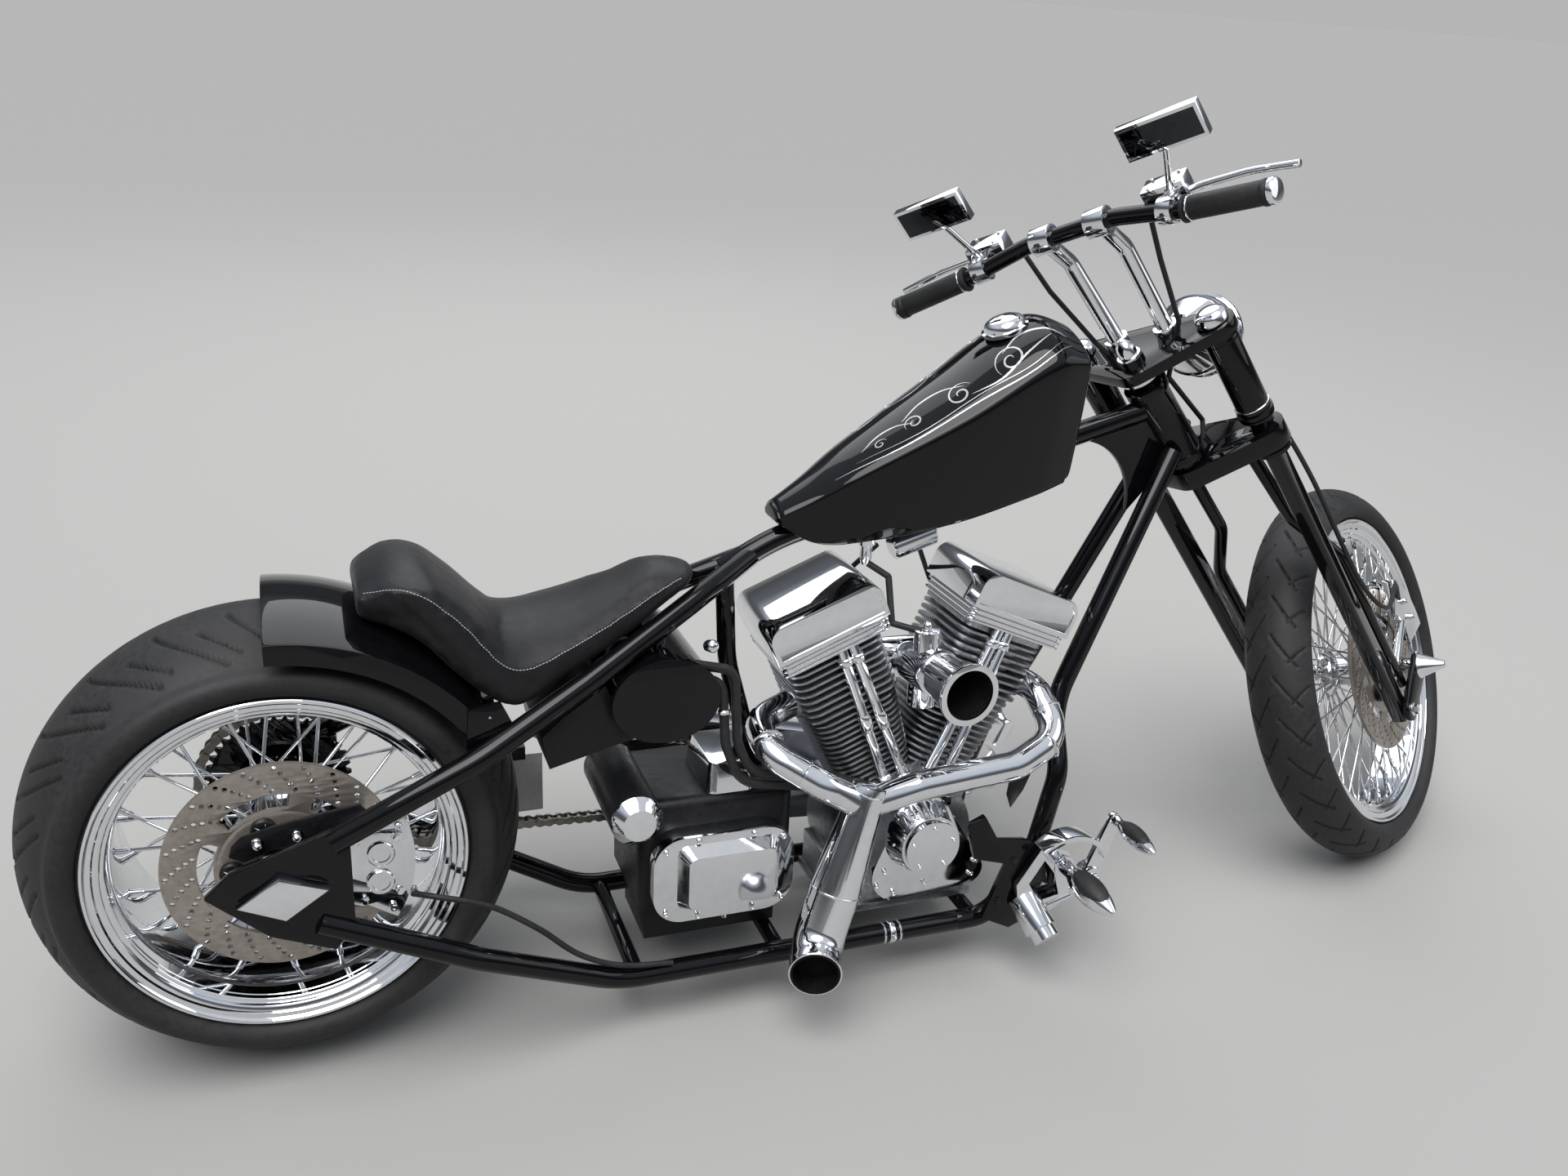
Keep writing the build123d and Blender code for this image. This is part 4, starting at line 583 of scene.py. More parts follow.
def dress(node, finish, width):
    source = frame["nodes"][node]
    mesh = source.data.copy()
    if "custom_normal" in mesh.attributes:
        mesh.attributes.remove(mesh.attributes["custom_normal"])
    build = bmesh.new()
    build.from_mesh(mesh)
    bmesh.ops.remove_doubles(build, verts=build.verts, dist=2e-6)
    bmesh.ops.dissolve_limit(build, angle_limit=math.radians(1.0), verts=build.verts, edges=build.edges)
    build.to_mesh(mesh)
    build.free()
    mesh = modified(mesh, "BEVEL", width=width * mm, segments=2, limit_method="ANGLE",
                    angle_limit=math.radians(38), harden_normals=False)
    piece = placed(node + ".dressed", mesh, asIs, finish, source["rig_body"], (node,), 40)
    for other, place, low, high in dressAreas.get(node, ()):
        piece.data.materials.append(finishes[other])
        inward = place.inverted()
        for face in piece.data.polygons:
            centre = inward @ face.center
            if all(low[axis] <= centre[axis] <= high[axis] for axis in range(3)):
                face.material_index = len(piece.data.materials) - 1


for node, (finish, width) in dressTable.items():
    dress(node, finish, width)
print("carried-over solids dressed:", len(dressTable))

# tyres
rearTyre = {
    "radius": 322, "crown": 150, "treadHalf": 106, "widest": 124, "lip": 238, "bead": 228, "beadHalf": 108,
    "around": 1000, "repeats": 22, "grooveWidth": 3.9, "grooveDepth": 3.2,
    # grooves: slant, curve, start on the left, start on the right, width, taper, first and last share of the tread
    "grooves": [(0.15, 1.05, 0.5, 0.0, 0.88, 0.28, 0.10, 0.93), (0.15, 1.05, 0.92, 0.42, 0.8, 0.0, 0.40, 0.80)],
}
frontTyre = {
    "radius": 343, "crown": 62, "treadHalf": 54, "widest": 58, "lip": 281, "bead": 268, "beadHalf": 39,
    "around": 1000, "repeats": 30, "grooveWidth": 3.2, "grooveDepth": 2.6,
    "grooves": [(-1.15, 0.0, 0.5, 0.0, 0.80, 0.0, 0.10, 0.80), (0.9, 0.0, 0.2, 0.7, 0.85, 0.0, 0.55, 0.98)],
}
treadSteps, wallSteps = 48, 8


def grooveShare(facts, turn, share):
    repeats, width, reach = facts["repeats"], facts["grooveWidth"], abs(share)
    pitch = 2 * math.pi * facts["radius"] / repeats
    deepest = 0.0
    for slant, curve, left, right, wide, taper, first, last in facts["grooves"]:
        if first < reach < last:
            start = left if share > 0 else right
            phase = (turn * repeats / (2 * math.pi) + slant * reach + curve * reach ** 2 + start) % 1.0
            distance = min(phase, 1 - phase) * pitch * (wide - taper * reach)
            deepest = max(deepest, min(1.0, (width - distance) / (width * 0.45)))
    return deepest


def tyrePiece(name, facts, matrix, body, node):
    radius, crown, treadHalf, bead, beadHalf = (
        facts[key] for key in ("radius", "crown", "treadHalf", "bead", "beadHalf"))
    shoulder = radius - crown + math.sqrt(crown ** 2 - treadHalf ** 2)
    foot = facts["lip"] + 2
    middle = (shoulder + foot) / 2 + 2
    tread = arcPoints((shoulder, -treadHalf), (radius, 0), (shoulder, treadHalf), treadSteps)
    wall = arcPoints((shoulder, treadHalf), (middle, facts["widest"]), (foot, beadHalf), wallSteps)
    profile = tread + mirrored(wall[1:] + [(bead, beadHalf)])
    rings, depths = [], []
    for turn in turnsOf(facts["around"]):
        ring = []
        for step, (height, side) in enumerate(profile):
            depth = grooveShare(facts, turn, side / treadHalf) if step <= treadSteps else 0.0
            inward = height - depth * facts["grooveDepth"]
            ring.append((inward * math.cos(turn), side, inward * math.sin(turn)))
            depths.append(depth)
        rings.append(ring)
    mesh = skinned(rings, looped=True, weld=0)
    # The groove depth is also kept on the points, where it paints shade into the grooves.
    mesh.attributes.new("grooveDepth", "FLOAT", "POINT").data.foreach_set("value", depths)
    placed(name, mesh, matrix, "tyreRubber", body, (node,), 50)


tyrePiece("rearTyre", rearTyre, bike, "rear_wheel", "rear_tyre")
tyrePiece("frontTyre", frontTyre, frontWheel, "front_wheel", "front_tyre")
print("tyres cut")

# wire wheels
rearWire = {"lip": 238, "bead": 228, "half": 115, "well": 204, "flangeSide": 74, "flange": 58, "barrel": 34,
            "hubHalf": 96, "bore": 12.75, "count": 40, "spoke": 2.4, "slant": 28, "body": "rear_wheel"}
frontWire = {"lip": 281, "bead": 268, "half": 46, "well": 252, "flangeSide": 36, "flange": 44, "barrel": 26,
             "hubHalf": 46, "bore": 10.05, "count": 60, "spoke": 1.9, "slant": 28, "body": "front_wheel"}


def rimProfile(facts):
    half, lip, bead, well = facts["half"], facts["lip"], facts["bead"], facts["well"]
    edge, step = -half, bead - 14
    outside = [
        (bead, edge + 7), (lip - 1, edge + 6), (lip, edge + 5), (lip, edge + 1), (lip - 1.5, edge), (lip - 5, edge),
        (lip - 6.5, edge + 2), (lip - 8, edge + 3.5), (bead - 4, edge + 4.5), (bead - 6, edge + 7),
        (step + 4, edge + 8), (step + 2, edge + 9), (step + 1, edge + 10), (step + 1, edge + 15), (step, edge + 16),
        (step - 4, edge + 17), (step - 5, edge + 18), (step - 5, edge + 25), (step - 6, edge + 26),
        (well + 4, edge * 0.62), (well + 2, edge * 0.60), (well, edge * 0.55)]
    return mirrored(outside) + mirrored([(bead, half - 11), (well + 6, half * 0.40)])


def hubProfile(facts):
    flange, barrel, edge = facts["flange"], facts["barrel"], -facts["flangeSide"]
    return mirrored([
        (facts["bore"], -facts["hubHalf"]), (barrel * 0.8, -facts["hubHalf"]), (barrel * 0.8, edge - 8),
        (flange - 4, edge - 6), (flange, edge - 3), (flange, edge + 3), (flange - 4, edge + 6),
        (barrel + 4, edge + 12), (barrel, edge + 20)])


def spokesMesh(facts):
    thick, count, hubRadius, rimRadius = facts["spoke"], facts["count"], facts["flange"] - 4, facts["well"] + 3
    nipple = [(0, thick + 0.4), (0.12, thick * 1.7), (0.75, thick * 1.9), (1, thick * 2.2)]
    parts = []
    for place, (side, hand) in enumerate(((-1, -1), (1, -1), (-1, 1), (1, 1))):
        turn = 2 * math.pi * place / count
        lean = turn + math.radians(hand * facts["slant"])
        inner = Vector((hubRadius * math.cos(lean), side * facts["flangeSide"], hubRadius * math.sin(lean)))
        outer = Vector((rimRadius * math.cos(turn), side * facts["half"] * 0.12, rimRadius * math.sin(turn)))
        parts.append(turnedMesh(inner, outer, [(0, thick), (1, thick)], 10))
        parts.append(turnedMesh(outer - (outer - inner).normalized() * 24, outer, nipple, 10))
    return aroundAxle(joined(parts), count // 4, "chrome")


def wireWheel(name, facts, matrix, node):
    for label, mesh, sharp in (("rim", latheMesh(rimProfile(facts), 160), 30),
                               ("hub", latheMesh(hubProfile(facts), 64), 30), ("spokes", spokesMesh(facts), 40)):
        placed(name + "." + label, mesh, matrix, "chrome", facts["body"], (node,), sharp)


wireWheel("rearWire", rearWire, bike, "rear_rim_and_spokes")
wireWheel("frontWire", frontWire, frontWheel, "front_rim_and_spokes")
print("wire wheels laced")

# brake discs
discFacts = {"radius": 147, "thickness": 6, "inner": 103, "carrier": 80, "arms": 5, "arm": 8.5, "holeRadius": 3.6,
             "rows": (140, 132, 124, 116, 109), "holesPerRow": 24, "rowShift": 0.21,
             "capPlace": 60.0, "capHeight": 10, "capRadius": 16, "starReach": 12.5}


def brakeDisc(name, facts, side, bore, matrix, body, node):
    rim, arms, pitch = facts["carrier"], facts["arms"], 360 / facts["arms"]
    outlines = [circlePoints(0, 0, facts["radius"], 120), circlePoints(0, 0, rim - 4, 60)]
    for row, radius in enumerate(facts["rows"]):
        first = 360 * facts["rowShift"] * row / facts["holesPerRow"]
        for x, y in circlePoints(0, 0, radius, facts["holesPerRow"], first):
            outlines.append(circlePoints(x, y, facts["holeRadius"], 8))
    for arm in range(arms):
        turns = [pitch * arm + facts["arm"] + (pitch - 2 * facts["arm"]) * step / 10 for step in range(11)]
        window = [(rim + 3, turn) for turn in turns] + [(facts["inner"], turn) for turn in reversed(turns)]
        outlines.append([(r * math.cos(math.radians(turn)), r * math.sin(math.radians(turn))) for r, turn in window])
    stand = Matrix.Translation((0, side, 0)) @ axleTurn
    placed(name, plateMesh(outlines, facts["thickness"], stand, 0.3), matrix, "discSteel", body, (node,), 30)
    face = side - facts["thickness"] / 2
    carrier = latheMesh([(bore, face - 1), (rim - 6, face - 1), (rim - 2, face - 0.4), (rim, face + 0.6),
                         (rim, side + 5), (rim - 3, side + 8), (bore, side + 22)], 80)
    placed(name + ".carrier", carrier, matrix, "discSteel", body, (node,), 30)
    caps, stars = [], []
    out, wide = Vector((0, -facts["capHeight"], 0)), facts["capRadius"]
    capRows = [(0, wide), (0.75, wide), (0.92, wide - 1.5), (1, wide - 4)]
    for x, z in circlePoints(0, 0, facts["capPlace"], arms, pitch / 2):
        centre = Vector((x, face, z))
        caps.append(turnedMesh(centre + Vector((0, 2, 0)), centre + out, capRows, 32))
        for awayX, awayZ in circlePoints(0, 0, facts["starReach"], 5):
            tip = centre + out * 0.96 + Vector((awayX, 0, awayZ))
            stars.append(turnedMesh(centre + out, tip, [(0, 1.6), (0.6, 1.2), (1, 0.5)], 6))
    placed(name + ".caps", joined(caps), matrix, "satinBlack", body, (), 35)
    placed(name + ".stars", joined(stars), matrix, "chrome", body, (), 35)


brakeDisc("rearDisc", discFacts, -104, 28, bike, "rear_wheel", "rear_brake_disc")
brakeDisc("frontDisc", discFacts, -62, 22, frontWheel, "front_wheel", "front_brake_disc")
print("brake discs drilled")

# drive chain
chainFacts = {
    # sprockets: place forward, place up, radius of the pins
    "rear": (0, 0, 108.5), "front": (600, -80, 57.5), "side": 139, "links": 110, "plate": 6.8, "waist": 4.6,
    "outer": 7.9, "inner": 5.6, "thick": 1.9,
    # radius, half length, segments
    "roller": (4.9, 4.5, 12), "pin": (2.4, 8.95, 8),
}


def chainSpots(facts):
    rearX, rearZ, rearRadius = facts["rear"]
    frontX, frontZ, frontRadius = facts["front"]
    span = math.hypot(frontX - rearX, frontZ - rearZ)
    slope = math.atan2(frontZ - rearZ, frontX - rearX)
    lean = math.acos((rearRadius - frontRadius) / span)
    run = span * math.sin(lean)
    rearArc, frontArc = rearRadius * (2 * math.pi - 2 * lean), frontRadius * 2 * lean
    total = rearArc + frontArc + 2 * run
    for index in range(facts["links"]):
        along = total * index / facts["links"]
        if along < rearArc:
            share, turn = 0, slope + lean + along / rearRadius
        elif along < rearArc + run:
            share, turn = (along - rearArc) / run, slope - lean
        elif along < rearArc + run + frontArc:
            share, turn = 1, slope - lean + (along - rearArc - run) / frontRadius
        else:
            share, turn = (total - along) / run, slope + lean
        radius = rearRadius + (frontRadius - rearRadius) * share
        yield Vector((rearX + (frontX - rearX) * share + radius * math.cos(turn), facts["side"],
                      rearZ + (frontZ - rearZ) * share + radius * math.sin(turn)))


def linkMesh(first, second, side, facts):
    middle, reach = (first + second) / 2, (second - first).length / 2
    way = (second - first).normalized()
    up = Vector((-way.z, 0, way.x))
    outline = []
    for end in (1, -1):
        for turn in (-110, -80, -50, -20, 20, 50, 80, 110):
            lean = math.radians(turn)
            outline.append((end * (reach + facts["plate"] * math.cos(lean)), end * facts["plate"] * math.sin(lean)))
        outline.append((0, end * facts["waist"]))
    layers = (side - facts["thick"] / 2, side + facts["thick"] / 2)
    return skinned([[middle + way * x + up * z + Vector((0, place, 0)) for x, z in outline] for place in layers])


def driveChain(facts):
    spots = list(chainSpots(facts))
    parts = []
    for index, spot in enumerate(spots):
        following = spots[(index + 1) % len(spots)]
        for hand in (-1, 1):
            parts.append(linkMesh(spot, following, hand * facts["outer" if index % 2 else "inner"], facts))
        for radius, reach, sides in (facts["roller"], facts["pin"]):
            out = Vector((0, reach, 0))
            parts.append(turnedMesh(spot - out, spot + out, [(0, radius), (1, radius)], sides))
    placed("driveChain", joined(parts), bike, "chainSteel", "chassis", ("drive_chain",), 40)


driveChain(chainFacts)
print("chain linked")


# lofted skins
def splineValue(stations, values, place):
    last = len(stations) - 2
    index = next((step for step in range(last) if place <= stations[step + 1]), last)
    x0, x1, y0, y1 = stations[index], stations[index + 1], values[index], values[index + 1]
    before = after = (y1 - y0) / (x1 - x0)
    if index > 0:
        before = (y1 - values[index - 1]) / (x1 - stations[index - 1])
    if index < last:
        after = (values[index + 2] - y0) / (stations[index + 2] - x0)
    a, span = (place - x0) / (x1 - x0), x1 - x0
    return ((2 * a**3 - 3 * a**2 + 1) * y0 + (a**3 - 2 * a**2 + a) * span * before
            + (-2 * a**3 + 3 * a**2) * y1 + (a**3 - a**2) * span * after)


def sectionValues(sections, place, columns):
    stations = [row[0] for row in sections]
    return [splineValue(stations, [row[column] for row in sections], place) for column in columns]


def endRings(ring, place, reach, way):
    middleSide = sum(side for side, height in ring) / len(ring)
    middleHeight = sum(height for side, height in ring) / len(ring)
    half = min(max(abs(side - middleSide) for side, height in ring),
               max(abs(height - middleHeight) for side, height in ring))
    for turn in (0, 18, 36, 54, 72, 90):
        lean = math.radians(turn)
        shrink = 1 - reach * (1 - math.cos(lean)) / half
        yield [(place - way * reach * (1 - math.sin(lean)), middleSide + (side - middleSide) * shrink,
                middleHeight + (height - middleHeight) * shrink) for side, height in ring]


def loftMesh(sections, ringPoints, steps, ends=(0, 0)):
    stations = [row[0] for row in sections]
    rings = []
    for index in range(steps * (len(stations) - 1) + 1):
        piece = min(index // steps, len(stations) - 2)
        place = stations[piece] + (stations[piece + 1] - stations[piece]) * (index - piece * steps) / steps
        if stations[0] + ends[0] <= place <= stations[-1] - ends[1]:
            ring = ringPoints(*sectionValues(sections, place, range(1, len(sections[0]))))
            rings.append([(place, side, height) for side, height in ring])
    if ends[0]:
        rings = list(endRings(ringPoints(*sections[0][1:]), stations[0], ends[0], -1))[::-1] + rings
    if ends[1]:
        rings += list(endRings(ringPoints(*sections[-1][1:]), stations[-1], ends[1], 1))
    return skinned(rings)


def surfaceTree(piece):
    return BVHTree.FromPolygons([vertex.co for vertex in piece.data.vertices],
                                [polygon.vertices for polygon in piece.data.polygons])


# fuel tank
tankFacts = {
    "sections": [  # place, underside, crease, top, half width below, half width at the crease
        (692, 396, 404, 418, 26, 31), (746, 366, 433, 454, 36, 48), (800, 362, 468, 494, 44, 66),
        (950, 386, 553, 594, 62, 98), (1080.3, 424.5, 628.5, 680.5, 70, 106), (1146.2, 446, 628, 668, 64, 90)],
    "ends": (5.0, 13.0),  # rounding at the rear and at the front
    "bulge": (0.06, 0.16, 0.28, 0.42, 0.56, 0.70, 0.84, 0.95),  # steps down the side, from the crease
}
capFacts = {"place": (1046, 0, 660), "way": (-9, 0, 22),
            "profile": [(0, 34), (0.25, 35), (0.3, 31), (0.55, 30), (0.75, 26), (0.92, 16), (1.0, 2)]}


def softCorner(before, corner, after, steps=4):
    shares = [index / steps for index in range(1, steps)]
    return [tuple((1 - share) ** 2 * a + 2 * share * (1 - share) * b + share ** 2 * c
                  for a, b, c in zip(before, corner, after)) for share in shares]


def tankRing(under, crease, top, halfUnder, halfCrease):
    dome = arcPoints((halfCrease, crease), (0, top), (-halfCrease, crease), 26)
    left = [(-halfCrease + (halfCrease - halfUnder) * share ** 1.25, crease + (under - crease) * share)
            for share in tankFacts["bulge"]]
    floorHalf = halfUnder - 5
    floor = [(-floorHalf + 2 * floorHalf * step / 6, under) for step in range(7)]
    right = [(-side, height) for side, height in reversed(left)]
    inner = dome[1:-1]
    return (inner + softCorner(inner[-1], dome[-1], left[0]) + left
            + softCorner(left[-1], (-halfUnder, under), floor[0]) + floor
            + softCorner(floor[-1], (halfUnder, under), right[0]) + right + softCorner(right[-1], dome[0], inner[0]))


tankMesh = loftMesh(tankFacts["sections"], tankRing, 10, tankFacts["ends"])
tank = placed("tankSkin", tankMesh, bike, "glossBlack", "chassis", ("fuel_tank",), 60)
capStart = Vector(capFacts["place"])
capMesh = turnedMesh(capStart, capStart + Vector(capFacts["way"]), capFacts["profile"], 56)
placed("tankCap", capMesh, bike, "chrome", "chassis", ("fuel_tank",), 40)

scrollFacts = {
    # stroke: widest half, points as place along the tank and share of the way from crown to crease
    "strokes": [
        (1.3, [(770, 0.60), (860, 0.74), (960, 0.70), (1040, 0.80), (1112, 0.66)]),
        (0.7, [(800, 0.52), (880, 0.64), (965, 0.60), (1040, 0.70), (1098, 0.58)]),
        (2.4, [(1016, 0.30), (1046, 0.22), (1078, 0.30), (1108, 0.50)]),
        (2.0, [(960, 0.52), (1000, 0.60), (1042, 0.50), (1084, 0.42)]),
        (1.8, [(872, 0.28), (900, 0.18), (932, 0.20), (958, 0.34)]),
        (1.5, [(812, 0.36), (836, 0.26), (862, 0.28), (884, 0.42)]),
    ],
    # spiral: place, share, outer radius, turns, first angle, hand, widest half
    "spirals": [(1020, 0.44, 22, 1.6, 150, 1, 1.9), (948, 0.42, 18, 1.5, -20, -1, 1.7),
                (884, 0.40, 13, 1.4, 160, 1, 1.4), (836, 0.42, 9, 1.3, 0, -1, 1.1)],
    "lift": 0.35, "sunk": 0.4, "shareLength": 105.0, "strokeSteps": 46, "spiralSteps": 54,
}
tankTree = surfaceTree(tank)


def onTank(place, share, hand):
    crease, top, half = sectionValues(tankFacts["sections"], place, (2, 3, 5))
    turn = share * math.pi / 2
    guess = Vector((place, hand * half * math.sin(turn), crease + (top - crease) * math.cos(turn)))
    return tankTree.find_nearest(bike @ guess)[:2]


def ribbonMesh(spots, half, facts):
    last = len(spots) - 1
    rings = []
    for index, (spot, normal) in enumerate(spots):
        side = (spots[min(index + 1, last)][0] - spots[max(index - 1, 0)][0]).cross(normal).normalized()
        side *= half * mm * max(0.08, math.sin(math.pi * (0.02 + 0.96 * index / last)) ** 0.7)
        down, up = -normal * facts["sunk"] * mm, normal * facts["lift"] * mm
        rings.append((spot - side + down, spot - side * 0.85 + up, spot + side * 0.85 + up, spot + side + down))
    return skinned(rings, weld=0)


def strokeSpots(points, hand, steps):
    places, shares = zip(*points)
    for index in range(steps):
        place = places[0] + (places[-1] - places[0]) * index / (steps - 1)
        yield onTank(place, splineValue(places, shares, place), hand)


def spiralSpots(place, share, radius, turns, first, way, hand, steps):
    for index in range(steps):
        part = index / (steps - 1)
        turn = math.radians(first) + way * 2 * math.pi * turns * part
        reach = radius * (1 - 0.86 * part)
        yield onTank(place + reach * math.cos(turn), share + reach * math.sin(turn) / scrollFacts["shareLength"], hand)


ribbons = []
for hand in (-1, 1):
    for half, points in scrollFacts["strokes"]:
        spots = list(strokeSpots(points, hand, scrollFacts["strokeSteps"]))
        ribbons.append(ribbonMesh(spots, half, scrollFacts))
    for *spiral, half in scrollFacts["spirals"]:
        spots = list(spiralSpots(*spiral, hand, scrollFacts["spiralSteps"]))
        ribbons.append(ribbonMesh(spots, half, scrollFacts))
placed("tankScroll", joined(ribbons), asIs, "pinstripeSilver", "chassis", (), 50)
print("tank shaped")

# seat
seatFacts = {
    "sections": [  # place, underside, edge, crown, half width
        (114, 324, 348, 357, 81), (182, 298, 365, 378, 114), (240, 241, 321, 338, 124), (300, 194, 252, 290, 128),
        (380, 229, 267, 290, 116), (460, 265, 301, 316, 90), (530, 305, 333, 346, 63), (562, 322, 337, 345, 43),
        (575, 330, 336, 340, 20)],
    "tuck": 6, "voxel": 5.0, "pressure": 4.0, "limit": 5.0, "frames": 20, "fill": 0.75,
    # place, height and half width of the seam
    "seam": [(124, 356, 70), (171, 366, 100), (234, 328, 116), (286, 264, 121), (317, 250, 121), (358, 262, 115),
             (433, 291, 94), (490, 316, 76), (549, 340, 48)],
    "seamSteps": 90, "stitchPitch": 4.6,
}


def seatRing(under, edge, crown, half):
    dome = arcPoints((half, edge), (0, crown), (-half, edge), 16)
    tuck = seatFacts["tuck"]
    left = [(-half + tuck * step / 5, edge + (under - edge) * step / 5) for step in range(1, 6)]
    floor = [(-half + tuck + 2 * (half - tuck) * step / 8, under) for step in range(1, 8)]
    right = [(half - tuck + tuck * step / 5, under + (edge - under) * step / 5) for step in range(5)]
    return dome + left + floor + right


def swollenMesh(mesh, pressure, limit, frames):
    scene = bpy.context.scene
    before = [vertex.co.copy() for vertex in mesh.vertices]
    holder = linked("pad", mesh)
    cloth = holder.modifiers.new("cloth", "CLOTH")
    cloth.settings.use_pressure = True
    cloth.settings.uniform_pressure_force = pressure
    cloth.settings.effector_weights.gravity = 0
    cloth.settings.quality = 4
    cloth.point_cache.frame_start = 1
    cloth.point_cache.frame_end = frames
    for index in range(1, frames + 1):
        scene.frame_set(index)
    swollen = bpy.data.meshes.new_from_object(holder.evaluated_get(bpy.context.evaluated_depsgraph_get()))
    bpy.data.objects.remove(holder)
    scene.frame_set(1)
    for vertex, old in zip(swollen.vertices, before):
        move = vertex.co - old
        if move.length > limit * mm:
            vertex.co = old + move.normalized() * limit * mm
    return swollen


def padMesh(mesh, facts):
    mesh = modified(mesh, "REMESH", mode="VOXEL", voxel_size=facts["voxel"] * mm)
    mesh = swollenMesh(mesh, facts["pressure"], facts["limit"], facts["frames"])
    build = bmesh.new()
    build.from_mesh(mesh)
    for _ in range(3):
        bmesh.ops.smooth_vert(build, verts=build.verts, factor=0.5, use_axis_x=True, use_axis_y=True, use_axis_z=True)
    build.to_mesh(mesh)
    build.free()
    return modified(mesh, "SUBSURF", levels=1, render_levels=1)


seatShape = loftMesh(seatFacts["sections"], seatRing, 6)
seatShape.transform(bike)
seat = placed("seatPad", padMesh(seatShape, seatFacts), asIs, "leather", "chassis", ("seat",), 70)
seatTree = surfaceTree(seat)
stitch = turnedMesh((0, 0, -1.8), (0, 0, 1.8), [(0, 0.25), (0.25, 0.6), (0.75, 0.6), (1, 0.25)], 6)
stitch.transform(Matrix.Scale(mm, 4))
for side, name in ((-1, "right"), (1, "left")):
    seam, steps = seatFacts["seam"], seatFacts["seamSteps"]
    path = []
    for index in range(steps):
        place = seam[0][0] + (seam[-1][0] - seam[0][0]) * index / (steps - 1)
        height, half = sectionValues(seam, place, (1, 2))
        spot, normal = seatTree.find_nearest(bike @ Vector((place, side * (half + 6), height)))[:2]
        path.append(spot + normal * 0.0003)
    seamMesh = alongMesh(stitch.copy(), path, seatFacts["stitchPitch"] * mm, "threadGrey")
    placed("seatSeam." + name, seamMesh, asIs, "threadGrey", "chassis", (), 60)
print("seat padded")

# trim: what is fitted goes into one mesh for each piece
trimMeshes = {}
trimFacts = {
    # piece: finish, body
    "chassisBolts": ("chrome", "chassis"), "engineTrim": ("polishedMetal", "chassis"),
    "sparkLeads": ("softRubber", "chassis"), "chassisRings": ("chrome", "chassis"),
    "chassisHoses": ("softRubber", "chassis"), "darkLiners": ("blackInside", "chassis"),
    "chassisDarkBolts": ("satinBlack", "chassis"), "axleDiamonds": ("chrome", "chassis"),
    "plateFace": ("plateWhite", "chassis"), "tailLens": ("lampRed", "chassis"),
    "pegRubbers": ("softRubber", "chassis"), "forkBolts": ("chrome", "fork"), "forkBlack": ("glossBlack", "fork"),
    "forkRings": ("chrome", "fork"), "lampLens": ("lampGlass", "fork"), "lampBowl": ("polishedMetal", "fork"),
    "mirrorFaces": ("mirrorGlass", "fork"), "forkCables": ("softRubber", "fork"),
}
forward, upward, rightward = (1, 0, 0), (0, 0, 1), (0, -1, 0)


def fit(piece, *meshes):
    trimMeshes.setdefault(piece, []).extend(meshes)


def boltMesh(place, way, size, kind):
    place, way = Vector(place), Vector(way).normalized() * size
    if kind == "hex":
        washer = turnedMesh(place, place + way * 0.3, [(0, size * 1.35), (0.8, size * 1.35), (1, size * 1.25)], 20)
        head = turnedMesh(place + way * 0.28, place + way * 1.25, [(0, size), (0.85, size), (1, size * 0.8)], 6)
        return joined([washer, head])
    tall, rows = {
        "acorn": (2.1, [(0, 1.25), (0.12, 1.25), (0.14, 1.0), (0.5, 1.0), (0.7, 0.85), (0.87, 0.55), (0.97, 0.25),
                        (1, 0)]),
        "allen": (1.0, [(0, 1.0), (0.82, 1.0), (1, 0.86), (1, 0.56), (0.45, 0.52), (0.45, 0)]),
    }[kind]
    return turnedMesh(place, place + way * tall, [(share, size * wide) for share, wide in rows], 20)


def ringMesh(place, way, inner, outer, length):
    place, way = Vector(place), Vector(way).normalized() * length / 2
    middle = (inner + outer) / 2
    rows = [(0, inner), (0.06, middle), (0.25, outer), (0.75, outer), (0.94, middle), (1, inner)]
    return turnedMesh(place - way, place + way, rows, 48)


def cupMesh(mouth, way, depth, wall):
    rows = [(wall[0][0], 0.01)] + wall + [(wall[-1][0], 0.01)]
    return turnedMesh(mouth, mouth - way * depth, rows, 56)


def sidePlate(outline, side, thickness, edge):
    stand = Matrix.Translation((0, side, 0)) @ Matrix.Rotation(math.radians(90), 4, "X")
    return plateMesh([outline], thickness, stand, edge)


def onBarrel(turn, along, side, height):
    lean = math.radians(turn)
    return Vector((crankX + height * math.sin(lean) + along * math.cos(lean), side,
                   crankZ + height * math.cos(lean) - along * math.sin(lean)))


